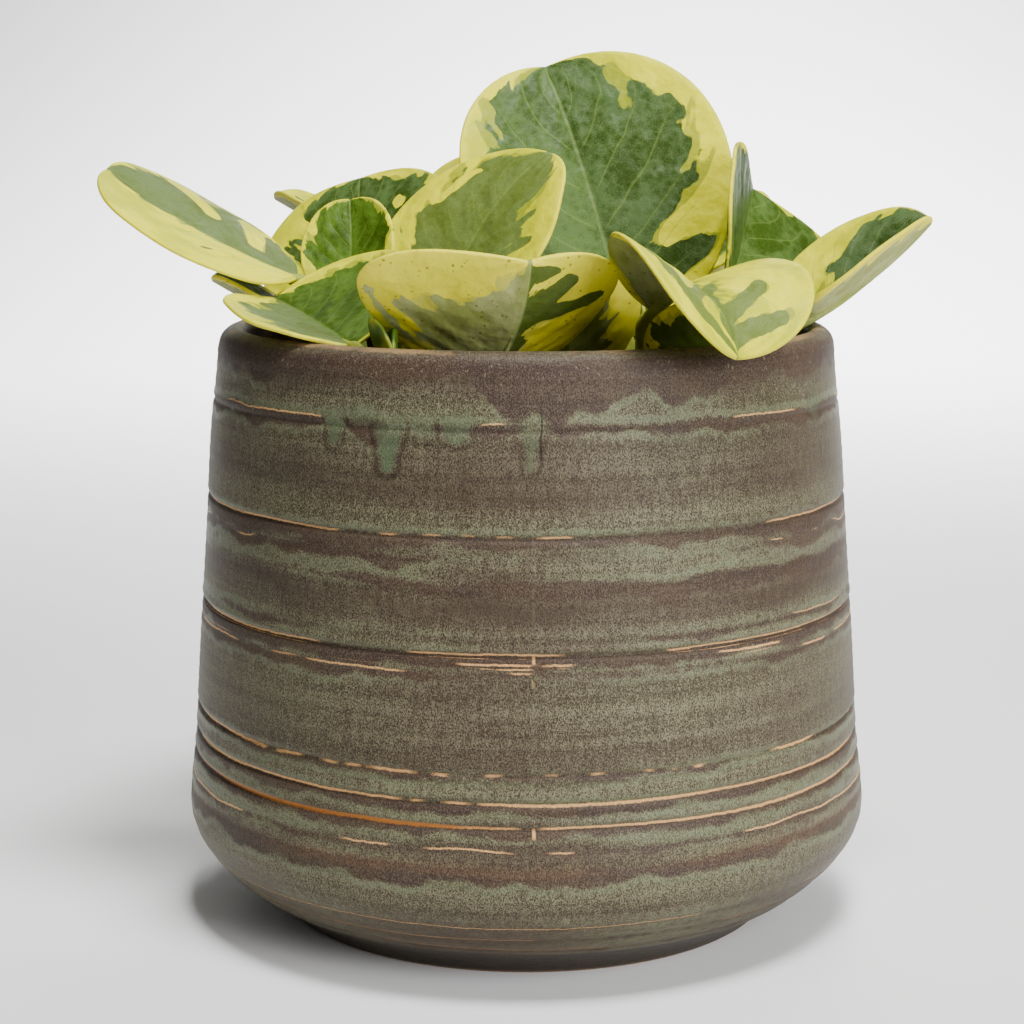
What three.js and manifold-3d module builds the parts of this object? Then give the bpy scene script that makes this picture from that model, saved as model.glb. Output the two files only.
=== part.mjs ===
// Potted variegated baby rubber plant: a thrown stoneware pot filled with soil, short upright stems standing in
// the soil, and fleshy notched leaves on short stalks. Millimetres, +Z up, origin at the middle of the pot's foot,
// -Y towards the front.
import * as THREE from 'three';
import { mergeVertices } from 'three/addons/utils/BufferGeometryUtils.js';
import Module from 'manifold-3d';

const wasm = await Module();
wasm.setup();

// Pot
const POT_SIDES = 44;
const FOOT_RADIUS = 56.7;
const RIM_HEIGHT = 138.2;
const FLOOR_HEIGHT = 7;
const GROOVE_DEPTH = 0.7;
const GROOVE_HALF = 0.9;
// Outer wall from the foot's edge up to the lip, as [radius, height]
const WALL = [
  [FOOT_RADIUS, 0], [60.9, 4], [68.8, 9], [73.4, 13], [77.7, 18], [80.1, 24], [80.2, 30], [78.8, 42],
  [77.9, 57], [75.2, 93], [73.6, 115], [72.2, 128], [71.7, 134],
];
// Heights of the turned grooves, each under the glaze break that it makes
const GROOVES = [39.5, 44.6, 50.8, 75.7, 100.1, 122];
const LIP = [[70.8, 136.4], [69.2, 137.8], [67.4, RIM_HEIGHT], [65.9, 137.2], [65.3, 134.8]];
// Inner wall from the floor up to under the lip
const CAVITY = [
  [58, FLOOR_HEIGHT], [66, 11.5], [71.5, 19], [73.8, 30], [72.6, 50], [70.4, 80], [68.4, 106], [66, 126],
];

// Soil
const GAP = 0.3;
const SOIL_TOP = 119;
const SOIL_EDGE = 116.5;
const SOIL_MOUND = [[50, 118.1], [25, 118.6]];
const SOIL_SIDES = 22;
const HOLE_DEPTH = 20;
const HOLE_SIDES = 10;

// Stems and leaf stalks
const STEM_RADIUS = 3.3;
const STEM_TIP_RADIUS = 2.3;
const STEM_SIDES = 7;
const STEM_RINGS = 4;
const STALK_RADIUS = 1.8;
const STALK_SIDES = 6;
const STALK_RINGS = 8;
const STALK_GAP = 0.6;
// Shares of a stalk's reach: how far it runs out nearly level from its stem, how much it climbs on that way, and
// how far before the blade it turns into the blade's direction
const STALK_LEVEL = 0.25;
const STALK_CLIMB = 0.04;
const STALK_ARRIVAL = 0.3;
// The share of a stalk where it starts to taper into the midrib's keel, the keel's radius at its end, and its
// axis under the blade as [share of the blade's length, depth]
const KEEL_START = 0.4;
const KEEL_RADIUS = 0.7;
const KEEL = [[0.03, 0.5], [0.3, 0.7]];

// Blades
const BLADE_MID = 1.5;
const BLADE_EDGE = 0.9;
const BLADE_ROWS = 12;
const BLADE_COLUMNS = [-1, -0.5, 0, 0.5, 1];
// The two young leaves over a growing tip: turn from the stem's heading, rise, length and width
const YOUNG_LEAVES = [[0, 68, 9, 6.5], [180, 54, 12, 8.5]];
const YOUNG_THICKNESS = 1.2;
const YOUNG_SINK = 1.5;
const YOUNG_ROWS = 5;
const YOUNG_COLUMNS = [-1, 0, 1];

// Each stem: where it stands on the soil [x, y], where it ends [x, y, z], and the heading of its young leaves
const STEMS = {
  stem_front_left: { foot: [-28, -51], top: [-29, -52, 134], heading: 20 },
  stem_left: { foot: [-37, -15], top: [-40, -12, 138], heading: 200 },
  stem_front: { foot: [-13, -23], top: [-15, -22, 131], heading: 160 },
  stem_middle: { foot: [29, 2], top: [30, 2, 134], heading: 330 },
  stem_front_right: { foot: [27, -17], top: [27, -19, 137], heading: 170 },
  stem_right: { foot: [47, -9], top: [49, -7, 136], heading: 250 },
  stem_back_left: { foot: [-29, 32], top: [-31, 34, 142], heading: 260 },
  stem_far_left: { foot: [-44, 26], top: [-45, 27, 134], heading: 240 },
  stem_back: { foot: [6, 42], top: [6, 45, 142], heading: 200 },
  stem_back_right: { foot: [39, 31], top: [41, 33, 137], heading: 190 },
};

// Each leaf: the stem that carries it and the height where its stalk leaves it, the point where its blade starts,
// its heading (0 is +X, 90 is the back), the angle it rises at, its roll to the right, its length and width, how
// far it bends down towards its tip, how far its left and right halves fold up, how much they curl up further, its
// drift to the right, and how much wider its right half is than its left
const LEAVES = {
  leaf_far_left: {
    stem: 'stem_left', from: 133, base: [-53, -6, 149], heading: 175, rise: 20, roll: -17, length: 50.5, width: 42,
    bend: -18, fold: [18, 7], curl: -22, drift: 2, uneven: 0.04, notch: 0.08, taper: 0.09,
  },
  leaf_front_left: {
    stem: 'stem_front_left', from: 127, base: [-37, -49, 137.2], heading: 118, rise: 10, roll: 1, length: 43,
    width: 45, bend: 0, fold: [-1, 25], curl: 20, drift: -1, uneven: 0.15, notch: 0.04, taper: 0.04,
  },
  leaf_round_left: {
    stem: 'stem_left', from: 126, base: [-43, 7, 140], heading: 85, rise: 42, roll: -11, length: 46, width: 51,
    bend: 0, fold: [0, 20], curl: -13, drift: -1, uneven: 0.03, notch: 0.06, taper: 0,
  },
  leaf_young_left: {
    stem: 'stem_left', from: 135, base: [-41, -3, 143], heading: 84, rise: 60, roll: -11, length: 27, width: 24,
    bend: 0, fold: [9, 16], curl: 6, drift: -2, uneven: 0, notch: 0.06, taper: -0.04,
  },
  leaf_centre: {
    stem: 'stem_front', from: 127, base: [-18, -17, 140], heading: 63, rise: 71, roll: -35, length: 46, width: 46,
    bend: 40, fold: [27, -23], curl: 3, drift: 8, uneven: -0.09, notch: 0.02, taper: -0.16,
  },
  leaf_front: {
    stem: 'stem_front', from: 123, base: [-11, -35, 127], heading: -65, rise: 26, roll: 12, length: 45, width: 57,
    bend: -32, fold: [-4, 31], curl: 11, drift: 0, uneven: 0.15, notch: 0.04, taper: 0.3,
  },
  leaf_tall: {
    stem: 'stem_middle', from: 122, base: [24, 10, 134], heading: 129, rise: 71, roll: -21, length: 72, width: 65,
    bend: 17, fold: [-2, 23], curl: 2, drift: -2, uneven: 0.07, notch: 0.06, taper: 0.08,
  },
  leaf_front_right: {
    stem: 'stem_front_right', from: 130, base: [28, -36, 144], heading: -64, rise: 38, roll: -5, length: 43,
    width: 45, bend: 97, fold: [26, 34], curl: -8, drift: -1, uneven: 0.04, notch: 0.08, taper: 0.15,
  },
  leaf_folded_right: {
    stem: 'stem_right', from: 131, base: [47, 0, 143.6], heading: 69, rise: 52, roll: 45, length: 36, width: 53,
    bend: 15, fold: [49, -6], curl: 6, drift: 2, uneven: 0.13, notch: 0.04, taper: 0.22,
  },
  leaf_far_right: {
    stem: 'stem_right', from: 127, base: [60.6, 0.5, 137], heading: 2, rise: 24, roll: -1, length: 42.5, width: 36,
    bend: -25, fold: [54, 29], curl: -17, drift: -1, uneven: 0, notch: 0.05, taper: -0.1,
  },
  leaf_low_front: {
    stem: 'stem_front', from: 121, base: [9, -26, 126.2], heading: -84, rise: 66, roll: 0, length: 31, width: 33,
    bend: -4, fold: [12, 12], curl: 10, drift: 0, uneven: 0, notch: 0.05, taper: 0.1,
  },
  leaf_low_right: {
    stem: 'stem_front_right', from: 121, base: [38, -30, 124], heading: -70, rise: 60, roll: 0, length: 26,
    width: 29, bend: 0, fold: [12, 12], curl: 8, drift: 0, uneven: 0, notch: 0.05, taper: 0.1,
  },
  leaf_low_left: {
    stem: 'stem_left', from: 122, base: [-52, -3, 137], heading: 183, rise: 30, roll: -5, length: 24, width: 18,
    bend: 0, fold: [20, 15], curl: 0, drift: 0, uneven: 0, notch: 0.04, taper: 0.05,
  },
  leaf_back_left_high: {
    stem: 'stem_back_left', from: 139, base: [-42, 57, 151], heading: 176, rise: 38, roll: 0, length: 27,
    width: 30, bend: 10, fold: [12, 12], curl: 8, drift: 0, uneven: 0, notch: 0.05, taper: 0.05,
  },
  leaf_back_left_low: {
    stem: 'stem_back_left', from: 126, base: [-29, 45, 135], heading: 106, rise: 22, roll: 4, length: 46,
    width: 46, bend: 20, fold: [12, 15], curl: 6, drift: 0, uneven: 0.04, notch: 0.06, taper: 0.06,
  },
  leaf_back_left_inner: {
    stem: 'stem_back_left', from: 133, base: [-13, 37, 147], heading: 70, rise: 52, roll: -6, length: 41,
    width: 40, bend: 15, fold: [14, 10], curl: 8, drift: 2, uneven: 0, notch: 0.06, taper: 0.08,
  },
  leaf_left_back: {
    stem: 'stem_far_left', from: 128, base: [-50, 40, 142], heading: 166, rise: 16, roll: -4, length: 38,
    width: 27, bend: 5, fold: [16, 12], curl: 6, drift: 0, uneven: 0, notch: 0.05, taper: 0.05,
  },
  leaf_back: {
    stem: 'stem_back', from: 128, base: [3, 54, 143], heading: 98, rise: 26, roll: 0, length: 46, width: 48,
    bend: 28, fold: [14, 12], curl: 6, drift: 1, uneven: -0.04, notch: 0.06, taper: 0.08,
  },
  leaf_back_inner: {
    stem: 'stem_back', from: 135, base: [13, 53, 148], heading: 62, rise: 46, roll: 5, length: 42, width: 43,
    bend: 14, fold: [12, 14], curl: 8, drift: 0, uneven: 0, notch: 0.06, taper: 0.06,
  },
  leaf_back_right: {
    stem: 'stem_back_right', from: 127, base: [50, 39, 140], heading: 40, rise: 15, roll: -4, length: 44,
    width: 43, bend: 14, fold: [12, 12], curl: 6, drift: 0, uneven: 0.03, notch: 0.06, taper: 0.06,
  },
  leaf_back_right_inner: {
    stem: 'stem_back_right', from: 132, base: [43, 46, 147], heading: 74, rise: 40, roll: 4, length: 36,
    width: 33, bend: 18, fold: [14, 12], curl: 8, drift: 0, uneven: 0, notch: 0.06, taper: 0.06,
  },
};

// Materials
const glaze = new THREE.MeshStandardMaterial({ color: 0x625b50, roughness: 0.62, metalness: 0 });
const soilBrown = new THREE.MeshStandardMaterial({ color: 0x3a2a1e, roughness: 0.95, metalness: 0 });
const stemGreen = new THREE.MeshStandardMaterial({ color: 0x8a9a4c, roughness: 0.5, metalness: 0 });
const leafGreen = new THREE.MeshStandardMaterial({ color: 0x6f9244, roughness: 0.4, metalness: 0 });

const radians = THREE.MathUtils.degToRad;

// A closed mesh's vertices as a solid that can be joined and cut
function solid(geometry) {
  const plain = geometry.clone();
  plain.deleteAttribute('normal');
  plain.deleteAttribute('uv');
  const merged = mergeVertices(plain, 1e-4);
  return new wasm.Manifold(new wasm.Mesh({
    numProp: 3,
    vertProperties: Float32Array.from(merged.attributes.position.array),
    triVerts: Uint32Array.from(merged.index.array),
  }));
}

function geometryOf(body) {
  const { vertProperties, triVerts } = body.getMesh();
  const geometry = new THREE.BufferGeometry();
  geometry.setAttribute('position', new THREE.BufferAttribute(vertProperties, 3));
  geometry.setIndex(new THREE.BufferAttribute(triVerts, 1));
  return geometry;
}

function geometryFrom(points, triangles) {
  const geometry = new THREE.BufferGeometry();
  geometry.setAttribute('position', new THREE.Float32BufferAttribute(points.flatMap((p) => [p.x, p.y, p.z]), 3));
  geometry.setIndex(triangles.flat());
  return geometry;
}

// A turned body from [radius, height] points, upright
function turned(profile, sides) {
  const points = profile.map(([r, z]) => new THREE.Vector2(r, z));
  const geometry = new THREE.LatheGeometry(points, sides);
  geometry.rotateX(Math.PI / 2);
  return geometry;
}

// Radius of a wall at a height
function wallRadius(wall, z) {
  const i = wall.findIndex(([, height]) => height > z);
  const [[r0, z0], [r1, z1]] = [wall[i - 1], wall[i]];
  return THREE.MathUtils.mapLinear(z, z0, z1, r0, r1);
}

// The outer wall with its grooves cut in between the points
function groovedWall() {
  const cuts = GROOVES.flatMap((z) => [
    [wallRadius(WALL, z - GROOVE_HALF), z - GROOVE_HALF],
    [wallRadius(WALL, z) - GROOVE_DEPTH, z],
    [wallRadius(WALL, z + GROOVE_HALF), z + GROOVE_HALF],
  ]);
  return [...WALL, ...cuts].sort((a, b) => a[1] - b[1]);
}

function makePot() {
  const profile = [[0, 0], ...groovedWall(), ...LIP, ...[...CAVITY].reverse(), [0, FLOOR_HEIGHT]];
  return turned(profile, POT_SIDES);
}

// A closed tube along a curve, with its radius from 0 at its start to 1 at its end
function sweep(curve, rings, sides, radiusAt) {
  const frames = curve.computeFrenetFrames(rings, false);
  const points = [];
  const triangles = [];
  for (let i = 0; i <= rings; i += 1) {
    const centre = curve.getPointAt(i / rings);
    const radius = radiusAt(i / rings);
    for (let k = 0; k < sides; k += 1) {
      const turn = (2 * Math.PI * k) / sides;
      points.push(centre.clone()
        .addScaledVector(frames.normals[i], radius * Math.cos(turn))
        .addScaledVector(frames.binormals[i], radius * Math.sin(turn)));
    }
  }
  for (let i = 0; i < rings; i += 1) {
    for (let k = 0; k < sides; k += 1) {
      const [a, b] = [i * sides + k, i * sides + ((k + 1) % sides)];
      triangles.push([a, b, b + sides], [a, b + sides, a + sides]);
    }
  }
  for (let k = 1; k < sides - 1; k += 1) {
    const end = rings * sides;
    triangles.push([0, k + 1, k], [end, end + k, end + k + 1]);
  }
  return geometryFrom(points, triangles);
}

// Directions of a blade at its base: along it, out of its upper face, and to its right
function bladeAxes({ heading, rise, roll = 0 }) {
  const [a, r, q] = [heading, rise, roll].map(radians);
  const along = new THREE.Vector3(Math.cos(a) * Math.cos(r), Math.sin(a) * Math.cos(r), Math.sin(r));
  const flatUp = new THREE.Vector3(-Math.cos(a) * Math.sin(r), -Math.sin(a) * Math.sin(r), Math.cos(r));
  const flatRight = along.clone().cross(flatUp);
  const up = flatUp.clone().multiplyScalar(Math.cos(q)).addScaledVector(flatRight, Math.sin(q));
  const right = along.clone().cross(up);
  return { along, up, right };
}

// A point of the blade's middle surface and the direction out of its upper face there: s runs from 0 at the
// base to 1 at the tip, t from -1 at the left margin to 1 at the right one
function bladePoint(leaf, s, t) {
  const { along, up, right } = bladeAxes(leaf);
  const [left, rightFold] = leaf.fold;
  const bend = radians(leaf.bend || 0.01);
  const turn = bend * s;
  const forward = along.clone().multiplyScalar(Math.cos(turn)).addScaledVector(up, -Math.sin(turn));
  const normal = up.clone().multiplyScalar(Math.cos(turn)).addScaledVector(along, Math.sin(turn));
  const point = new THREE.Vector3(...leaf.base)
    .addScaledVector(along, (leaf.length * Math.sin(turn)) / bend)
    .addScaledVector(up, (-leaf.length * (1 - Math.cos(turn))) / bend)
    .addScaledVector(right, leaf.drift * s * s);
  const angle = Math.PI * s;
  const half = (leaf.width / 2) * (1 + Math.sign(t) * leaf.uneven);
  const reach = half * Math.sin(angle) * (1 - leaf.taper * Math.cos(angle));
  const lead = (1 - Math.cos(angle)) / 2 - s + leaf.notch * Math.sin(angle) * s * s;
  const out = Math.abs(t);
  const fold = radians(t < 0 ? left : rightFold);
  const curl = radians(leaf.curl || 0.01);
  const across = (reach * (Math.sin(fold + curl * out) - Math.sin(fold))) / curl;
  const lift = (reach * (Math.cos(fold) - Math.cos(fold + curl * out))) / curl;
  point.addScaledVector(forward, leaf.length * lead * out ** 1.5)
    .addScaledVector(right, Math.sign(t) * across)
    .addScaledVector(normal, lift);
  const slope = t === 0 ? 0 : fold + curl * out;
  const face = normal.multiplyScalar(Math.cos(slope)).addScaledVector(right, -Math.sign(t) * Math.sin(slope));
  return { point, face };
}

// The blade as a closed body of even triangles, alike on both faces
function bladeGeometry(leaf, rows, columns) {
  const points = [];
  const last = columns.length - 1;
  const put = (s, t, thickness) => {
    const { point, face } = bladePoint(leaf, s, t);
    points.push(point.clone().addScaledVector(face, thickness / 2), point.addScaledVector(face, -thickness / 2));
    return points.length - 2;
  };
  const thick = leaf.thickness ?? BLADE_MID;
  const thin = Math.min(thick, BLADE_EDGE);
  const start = put(0, 0, thick);
  const grid = [];
  for (let i = 1; i < rows; i += 1) {
    grid.push(columns.map((t) => put(i / rows, t, thick + (thin - thick) * t * t)));
  }
  const end = put(1, 0, thin);
  const triangles = [];
  const face = (a, b, c) => triangles.push([a, b, c], [a + 1, c + 1, b + 1]);
  const wall = (a, b) => triangles.push([a + 1, b + 1, b], [a + 1, b, a]);
  for (let j = 0; j < last; j += 1) {
    face(start, grid[0][j + 1], grid[0][j]);
    face(grid[rows - 2][j], grid[rows - 2][j + 1], end);
    for (let i = 0; i < rows - 2; i += 1) {
      face(grid[i][j], grid[i][j + 1], grid[i + 1][j + 1]);
      face(grid[i][j], grid[i + 1][j + 1], grid[i + 1][j]);
    }
  }
  const rightMargin = [start, ...grid.map((row) => row[last]), end];
  const leftMargin = [end, ...grid.map((row) => row[0]).reverse(), start];
  for (const margin of [rightMargin, leftMargin]) {
    for (let i = 0; i < margin.length - 1; i += 1) {
      wall(margin[i], margin[i + 1]);
    }
  }
  return geometryFrom(points, triangles);
}

function stemCurve({ foot, top }) {
  const bottom = new THREE.Vector3(foot[0], foot[1], SOIL_TOP - HOLE_DEPTH + GAP);
  const soilPoint = new THREE.Vector3(foot[0], foot[1], SOIL_TOP + 1);
  return new THREE.CatmullRomCurve3([bottom, soilPoint, new THREE.Vector3(...top)]);
}

function stemRadius(share) {
  return THREE.MathUtils.lerp(STEM_RADIUS, STEM_TIP_RADIUS, share);
}

// The stem's axis point at a height
function stemPointAt(stem, height) {
  const curve = stemCurve(stem);
  let [low, high] = [0, 1];
  for (let i = 0; i < 24; i += 1) {
    const middle = (low + high) / 2;
    if (curve.getPointAt(middle).z < height) low = middle;
    else high = middle;
  }
  return { point: curve.getPointAt(low), radius: stemRadius(low) };
}

// A stem with its two young leaves closed over the growing tip
function makeStem(stem) {
  const curve = stemCurve(stem);
  let body = solid(sweep(curve, STEM_RINGS, STEM_SIDES, stemRadius));
  const top = curve.getPointAt(1);
  for (const [turn, rise, length, width] of YOUNG_LEAVES) {
    const young = {
      base: [top.x, top.y, top.z - YOUNG_SINK], heading: stem.heading + turn, rise, roll: 0, length, width,
      bend: -30, fold: [22, 22], curl: 10, drift: 0, uneven: 0, notch: 0, taper: 0, thickness: YOUNG_THICKNESS,
    };
    body = body.add(solid(bladeGeometry(young, YOUNG_ROWS, YOUNG_COLUMNS)));
  }
  return geometryOf(body);
}

// A leaf: its blade, and its stalk, which runs on under the blade as the midrib's keel
function makeLeaf(leaf) {
  const { along } = bladeAxes(leaf);
  const base = new THREE.Vector3(...leaf.base);
  const { point: axis, radius } = stemPointAt(STEMS[leaf.stem], leaf.from);
  const outward = base.clone().sub(axis).setZ(0).normalize();
  const start = axis.clone().addScaledVector(outward, radius + STALK_GAP);
  const reach = start.distanceTo(base);
  const leave = start.clone().addScaledVector(outward, reach * STALK_LEVEL).setZ(start.z + reach * STALK_CLIMB);
  const arrive = base.clone().addScaledVector(along, -reach * STALK_ARRIVAL);
  const keel = KEEL.map(([s, depth]) => {
    const { point, face } = bladePoint(leaf, s, 0);
    return point.addScaledVector(face, -depth);
  });
  const stalk = new THREE.CatmullRomCurve3([start, leave, arrive, ...keel]);
  const stalkRadius = (share) => {
    const taper = Math.max(0, share - KEEL_START) / (1 - KEEL_START);
    return THREE.MathUtils.lerp(STALK_RADIUS, KEEL_RADIUS, taper);
  };
  const body = solid(bladeGeometry(leaf, BLADE_ROWS, BLADE_COLUMNS));
  return geometryOf(body.add(solid(sweep(stalk, STALK_RINGS, STALK_SIDES, stalkRadius))));
}

// The soil that fills the pot, with a plain hole for each stem
function makeSoil() {
  const side = CAVITY.filter(([, z]) => z < SOIL_EDGE).map(([r, z]) => [r - GAP, z + GAP]);
  const edge = [wallRadius(CAVITY, SOIL_EDGE) - GAP, SOIL_EDGE];
  const profile = [[0, FLOOR_HEIGHT + GAP], ...side, edge, ...SOIL_MOUND, [0, SOIL_TOP]];
  let body = solid(turned(profile, SOIL_SIDES));
  const radius = (STEM_RADIUS + GAP) / Math.cos(Math.PI / HOLE_SIDES);
  for (const { foot } of Object.values(STEMS)) {
    const hole = new THREE.CylinderGeometry(radius, radius, 2 * HOLE_DEPTH, HOLE_SIDES);
    hole.rotateX(Math.PI / 2);
    hole.translate(foot[0], foot[1], SOIL_TOP);
    body = body.subtract(solid(hole));
  }
  return geometryOf(body);
}

const plant = new THREE.Group();
function place(name, geometry, material) {
  const mesh = new THREE.Mesh(geometry, material);
  mesh.name = name;
  plant.add(mesh);
}

place('pot', makePot(), glaze);
place('soil', makeSoil(), soilBrown);
for (const [name, stem] of Object.entries(STEMS)) {
  place(name, makeStem(stem), stemGreen);
}
for (const [name, leaf] of Object.entries(LEAVES)) {
  place(name, makeLeaf(leaf), leafGreen);
}

export default plant;
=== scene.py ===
import math
from types import SimpleNamespace

import bpy
import numpy as np
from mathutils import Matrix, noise


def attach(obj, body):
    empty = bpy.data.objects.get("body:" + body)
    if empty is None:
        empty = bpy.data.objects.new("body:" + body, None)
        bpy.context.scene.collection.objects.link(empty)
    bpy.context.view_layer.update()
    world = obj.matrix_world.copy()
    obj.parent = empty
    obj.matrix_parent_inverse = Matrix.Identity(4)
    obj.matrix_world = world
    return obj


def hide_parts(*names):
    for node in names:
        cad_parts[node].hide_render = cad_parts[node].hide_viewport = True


# A potted variegated baby rubber plant: a thrown stoneware pot in a speckled glaze, potting mix, short stems
# and thick notched leaves. Tables are in millimetres and degrees, as in the part's own source.
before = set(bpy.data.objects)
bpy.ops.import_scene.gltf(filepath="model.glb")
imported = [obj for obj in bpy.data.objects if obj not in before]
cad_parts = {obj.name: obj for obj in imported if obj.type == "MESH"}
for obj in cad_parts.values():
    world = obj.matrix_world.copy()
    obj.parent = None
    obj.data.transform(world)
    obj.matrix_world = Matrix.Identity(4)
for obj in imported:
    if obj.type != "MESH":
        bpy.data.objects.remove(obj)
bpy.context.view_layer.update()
MM = 0.001

# Pot: outer wall from the foot up, then the lip, then the inner wall down to the floor, as (radius, height)
WALL = [(56.7, 0), (60.9, 4), (68.8, 9), (73.4, 13), (77.7, 18), (80.1, 24), (80.2, 30), (78.8, 42),
        (77.9, 57), (75.2, 93), (73.6, 115), (72.2, 128), (71.7, 134)]
LIP = [(70.8, 136.4), (69.2, 137.8), (67.4, 138.2), (65.9, 137.2), (65.3, 134.8)]
CAVITY = [(66, 126), (68.4, 106), (70.4, 80), (72.6, 50), (73.8, 30), (71.5, 19), (66, 11.5), (58, 7)]
FLOOR_HEIGHT = 7
FLOOR_RADIUS = 52
FOOT_RADIUS = 56.3
FOOT_FACE_RADIUS = 55.6
CENTRE_RADIUS = 4
WALL_STEP = 0.75
# Turned grooves with a raised lip above each. The ones above HIGH_GROOVE have only this share of the depth
GROOVES = [39.5, 44.6, 50.8, 75.7, 100.1, 122]
GROOVE_DEPTH = 0.7
GROOVE_HALF = 0.9
GROOVE_LIP = 0.14
HIGH_GROOVE = 110
HIGH_GROOVE_SHARE = 0.4
# Turned lines too fine for the solids, as (height, depth)
FINE_LINES = [(34.6, 0.16), (31, 0.18), (17.4, 0.22), (13.6, 0.25), (10.2, 0.3), (96.2, 0.12), (72, 0.16),
              (74.2, 0.1)]
FINE_LINE_HALF = 0.8
# Throwing rings as (waves up the wall, start, size) and a slow wobble as (waves around, twist, size)
THROWING_RINGS = [(1.9, 0, 0.04), (3.7, 1, 0.02)]
WOBBLE = [(2, 0.02, 0.1), (3, 0.045, 0.08), (5, 0.09, 0.06), (9, 0.15, 0.04)]

# Soil: its mound, then the sides of the block down to its bottom, as (radius, height)
SOIL_TOP = 119
SOIL_RADIUS = 66.6
SOIL_MOUND = [(0, SOIL_TOP), (25, 118.6), (50, 118.1), (SOIL_RADIUS, 116.5)]
SOIL_SIDE = [(66.4, 114), (68, 104), (70, 78), (72.1, 48), (73.1, 30), (70.6, 19), (65.5, 12), (57.5, 7.4)]
# Bark chips and perlite grains, a little sunk into a plainer mound
CHIPS = 420
CHIPS_RADIUS = 64
CHIPS_MOUND = [SOIL_MOUND[0], *SOIL_MOUND[2:]]
CHIP_SUNK = 0.15
PERLITE_SHARE = 0.12

# Stems, from below the soil to the growing tip, with a slightly thicker node where each leaf stands
STEM_RADIUS = 3.3
STEM_TIP_RADIUS = 2.3
STEM_SUNK = 19.7
STEM_STRAIGHT = 1.0
STEM_RINGS = 60
STEM_SIDES = 20
NODE_SWELL = 0.35
NODE_HALF = 1.3
FIRST_NODE = SOIL_TOP + 3
# The two young leaves at a stem's tip, as (turn, rise, length, width)
YOUNG_LEAVES = [(0, 68, 9, 6.5), (180, 54, 12, 8.5)]
YOUNG_THICKNESS = 1.2
YOUNG_SUNK = 1.5

# Leaf stalks as (share of the way, radius), and the keel under the blade as (share of its length, depth). A
# stalk starts this far inside the point that lies STALK_GAP from its stem
STALK_RADIUS = 1.8
STALK_RADII = [(0, 2.5), (0.06, 2.3), (0.14, STALK_RADIUS), (0.4, STALK_RADIUS), (0.7, 1.0), (1, 0.35)]
STALK_KEEL = [(0.03, 0.5), (0.3, 0.7), (0.55, 0.62)]
STALK_GAP = 0.6
STALK_SUNK = 1.6
STALK_GROOVE = 0.3
STALK_RINGS = 44
STALK_SIDES = 14

# Blades: thickness, the side veins and how far they climb, and the width that the relief is sized for
BLADE_MID = 1.5
BLADE_EDGE = 0.9
VEINS = 7
VEIN_CLIMB = 0.5
RELIEF_WIDTH = 45
MARGIN_TURNS = (0.25, 0.5, 0.75)
# How a half's width counts against the length where the strokes of a marking are measured
HALF_SHARE = 0.6

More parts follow.
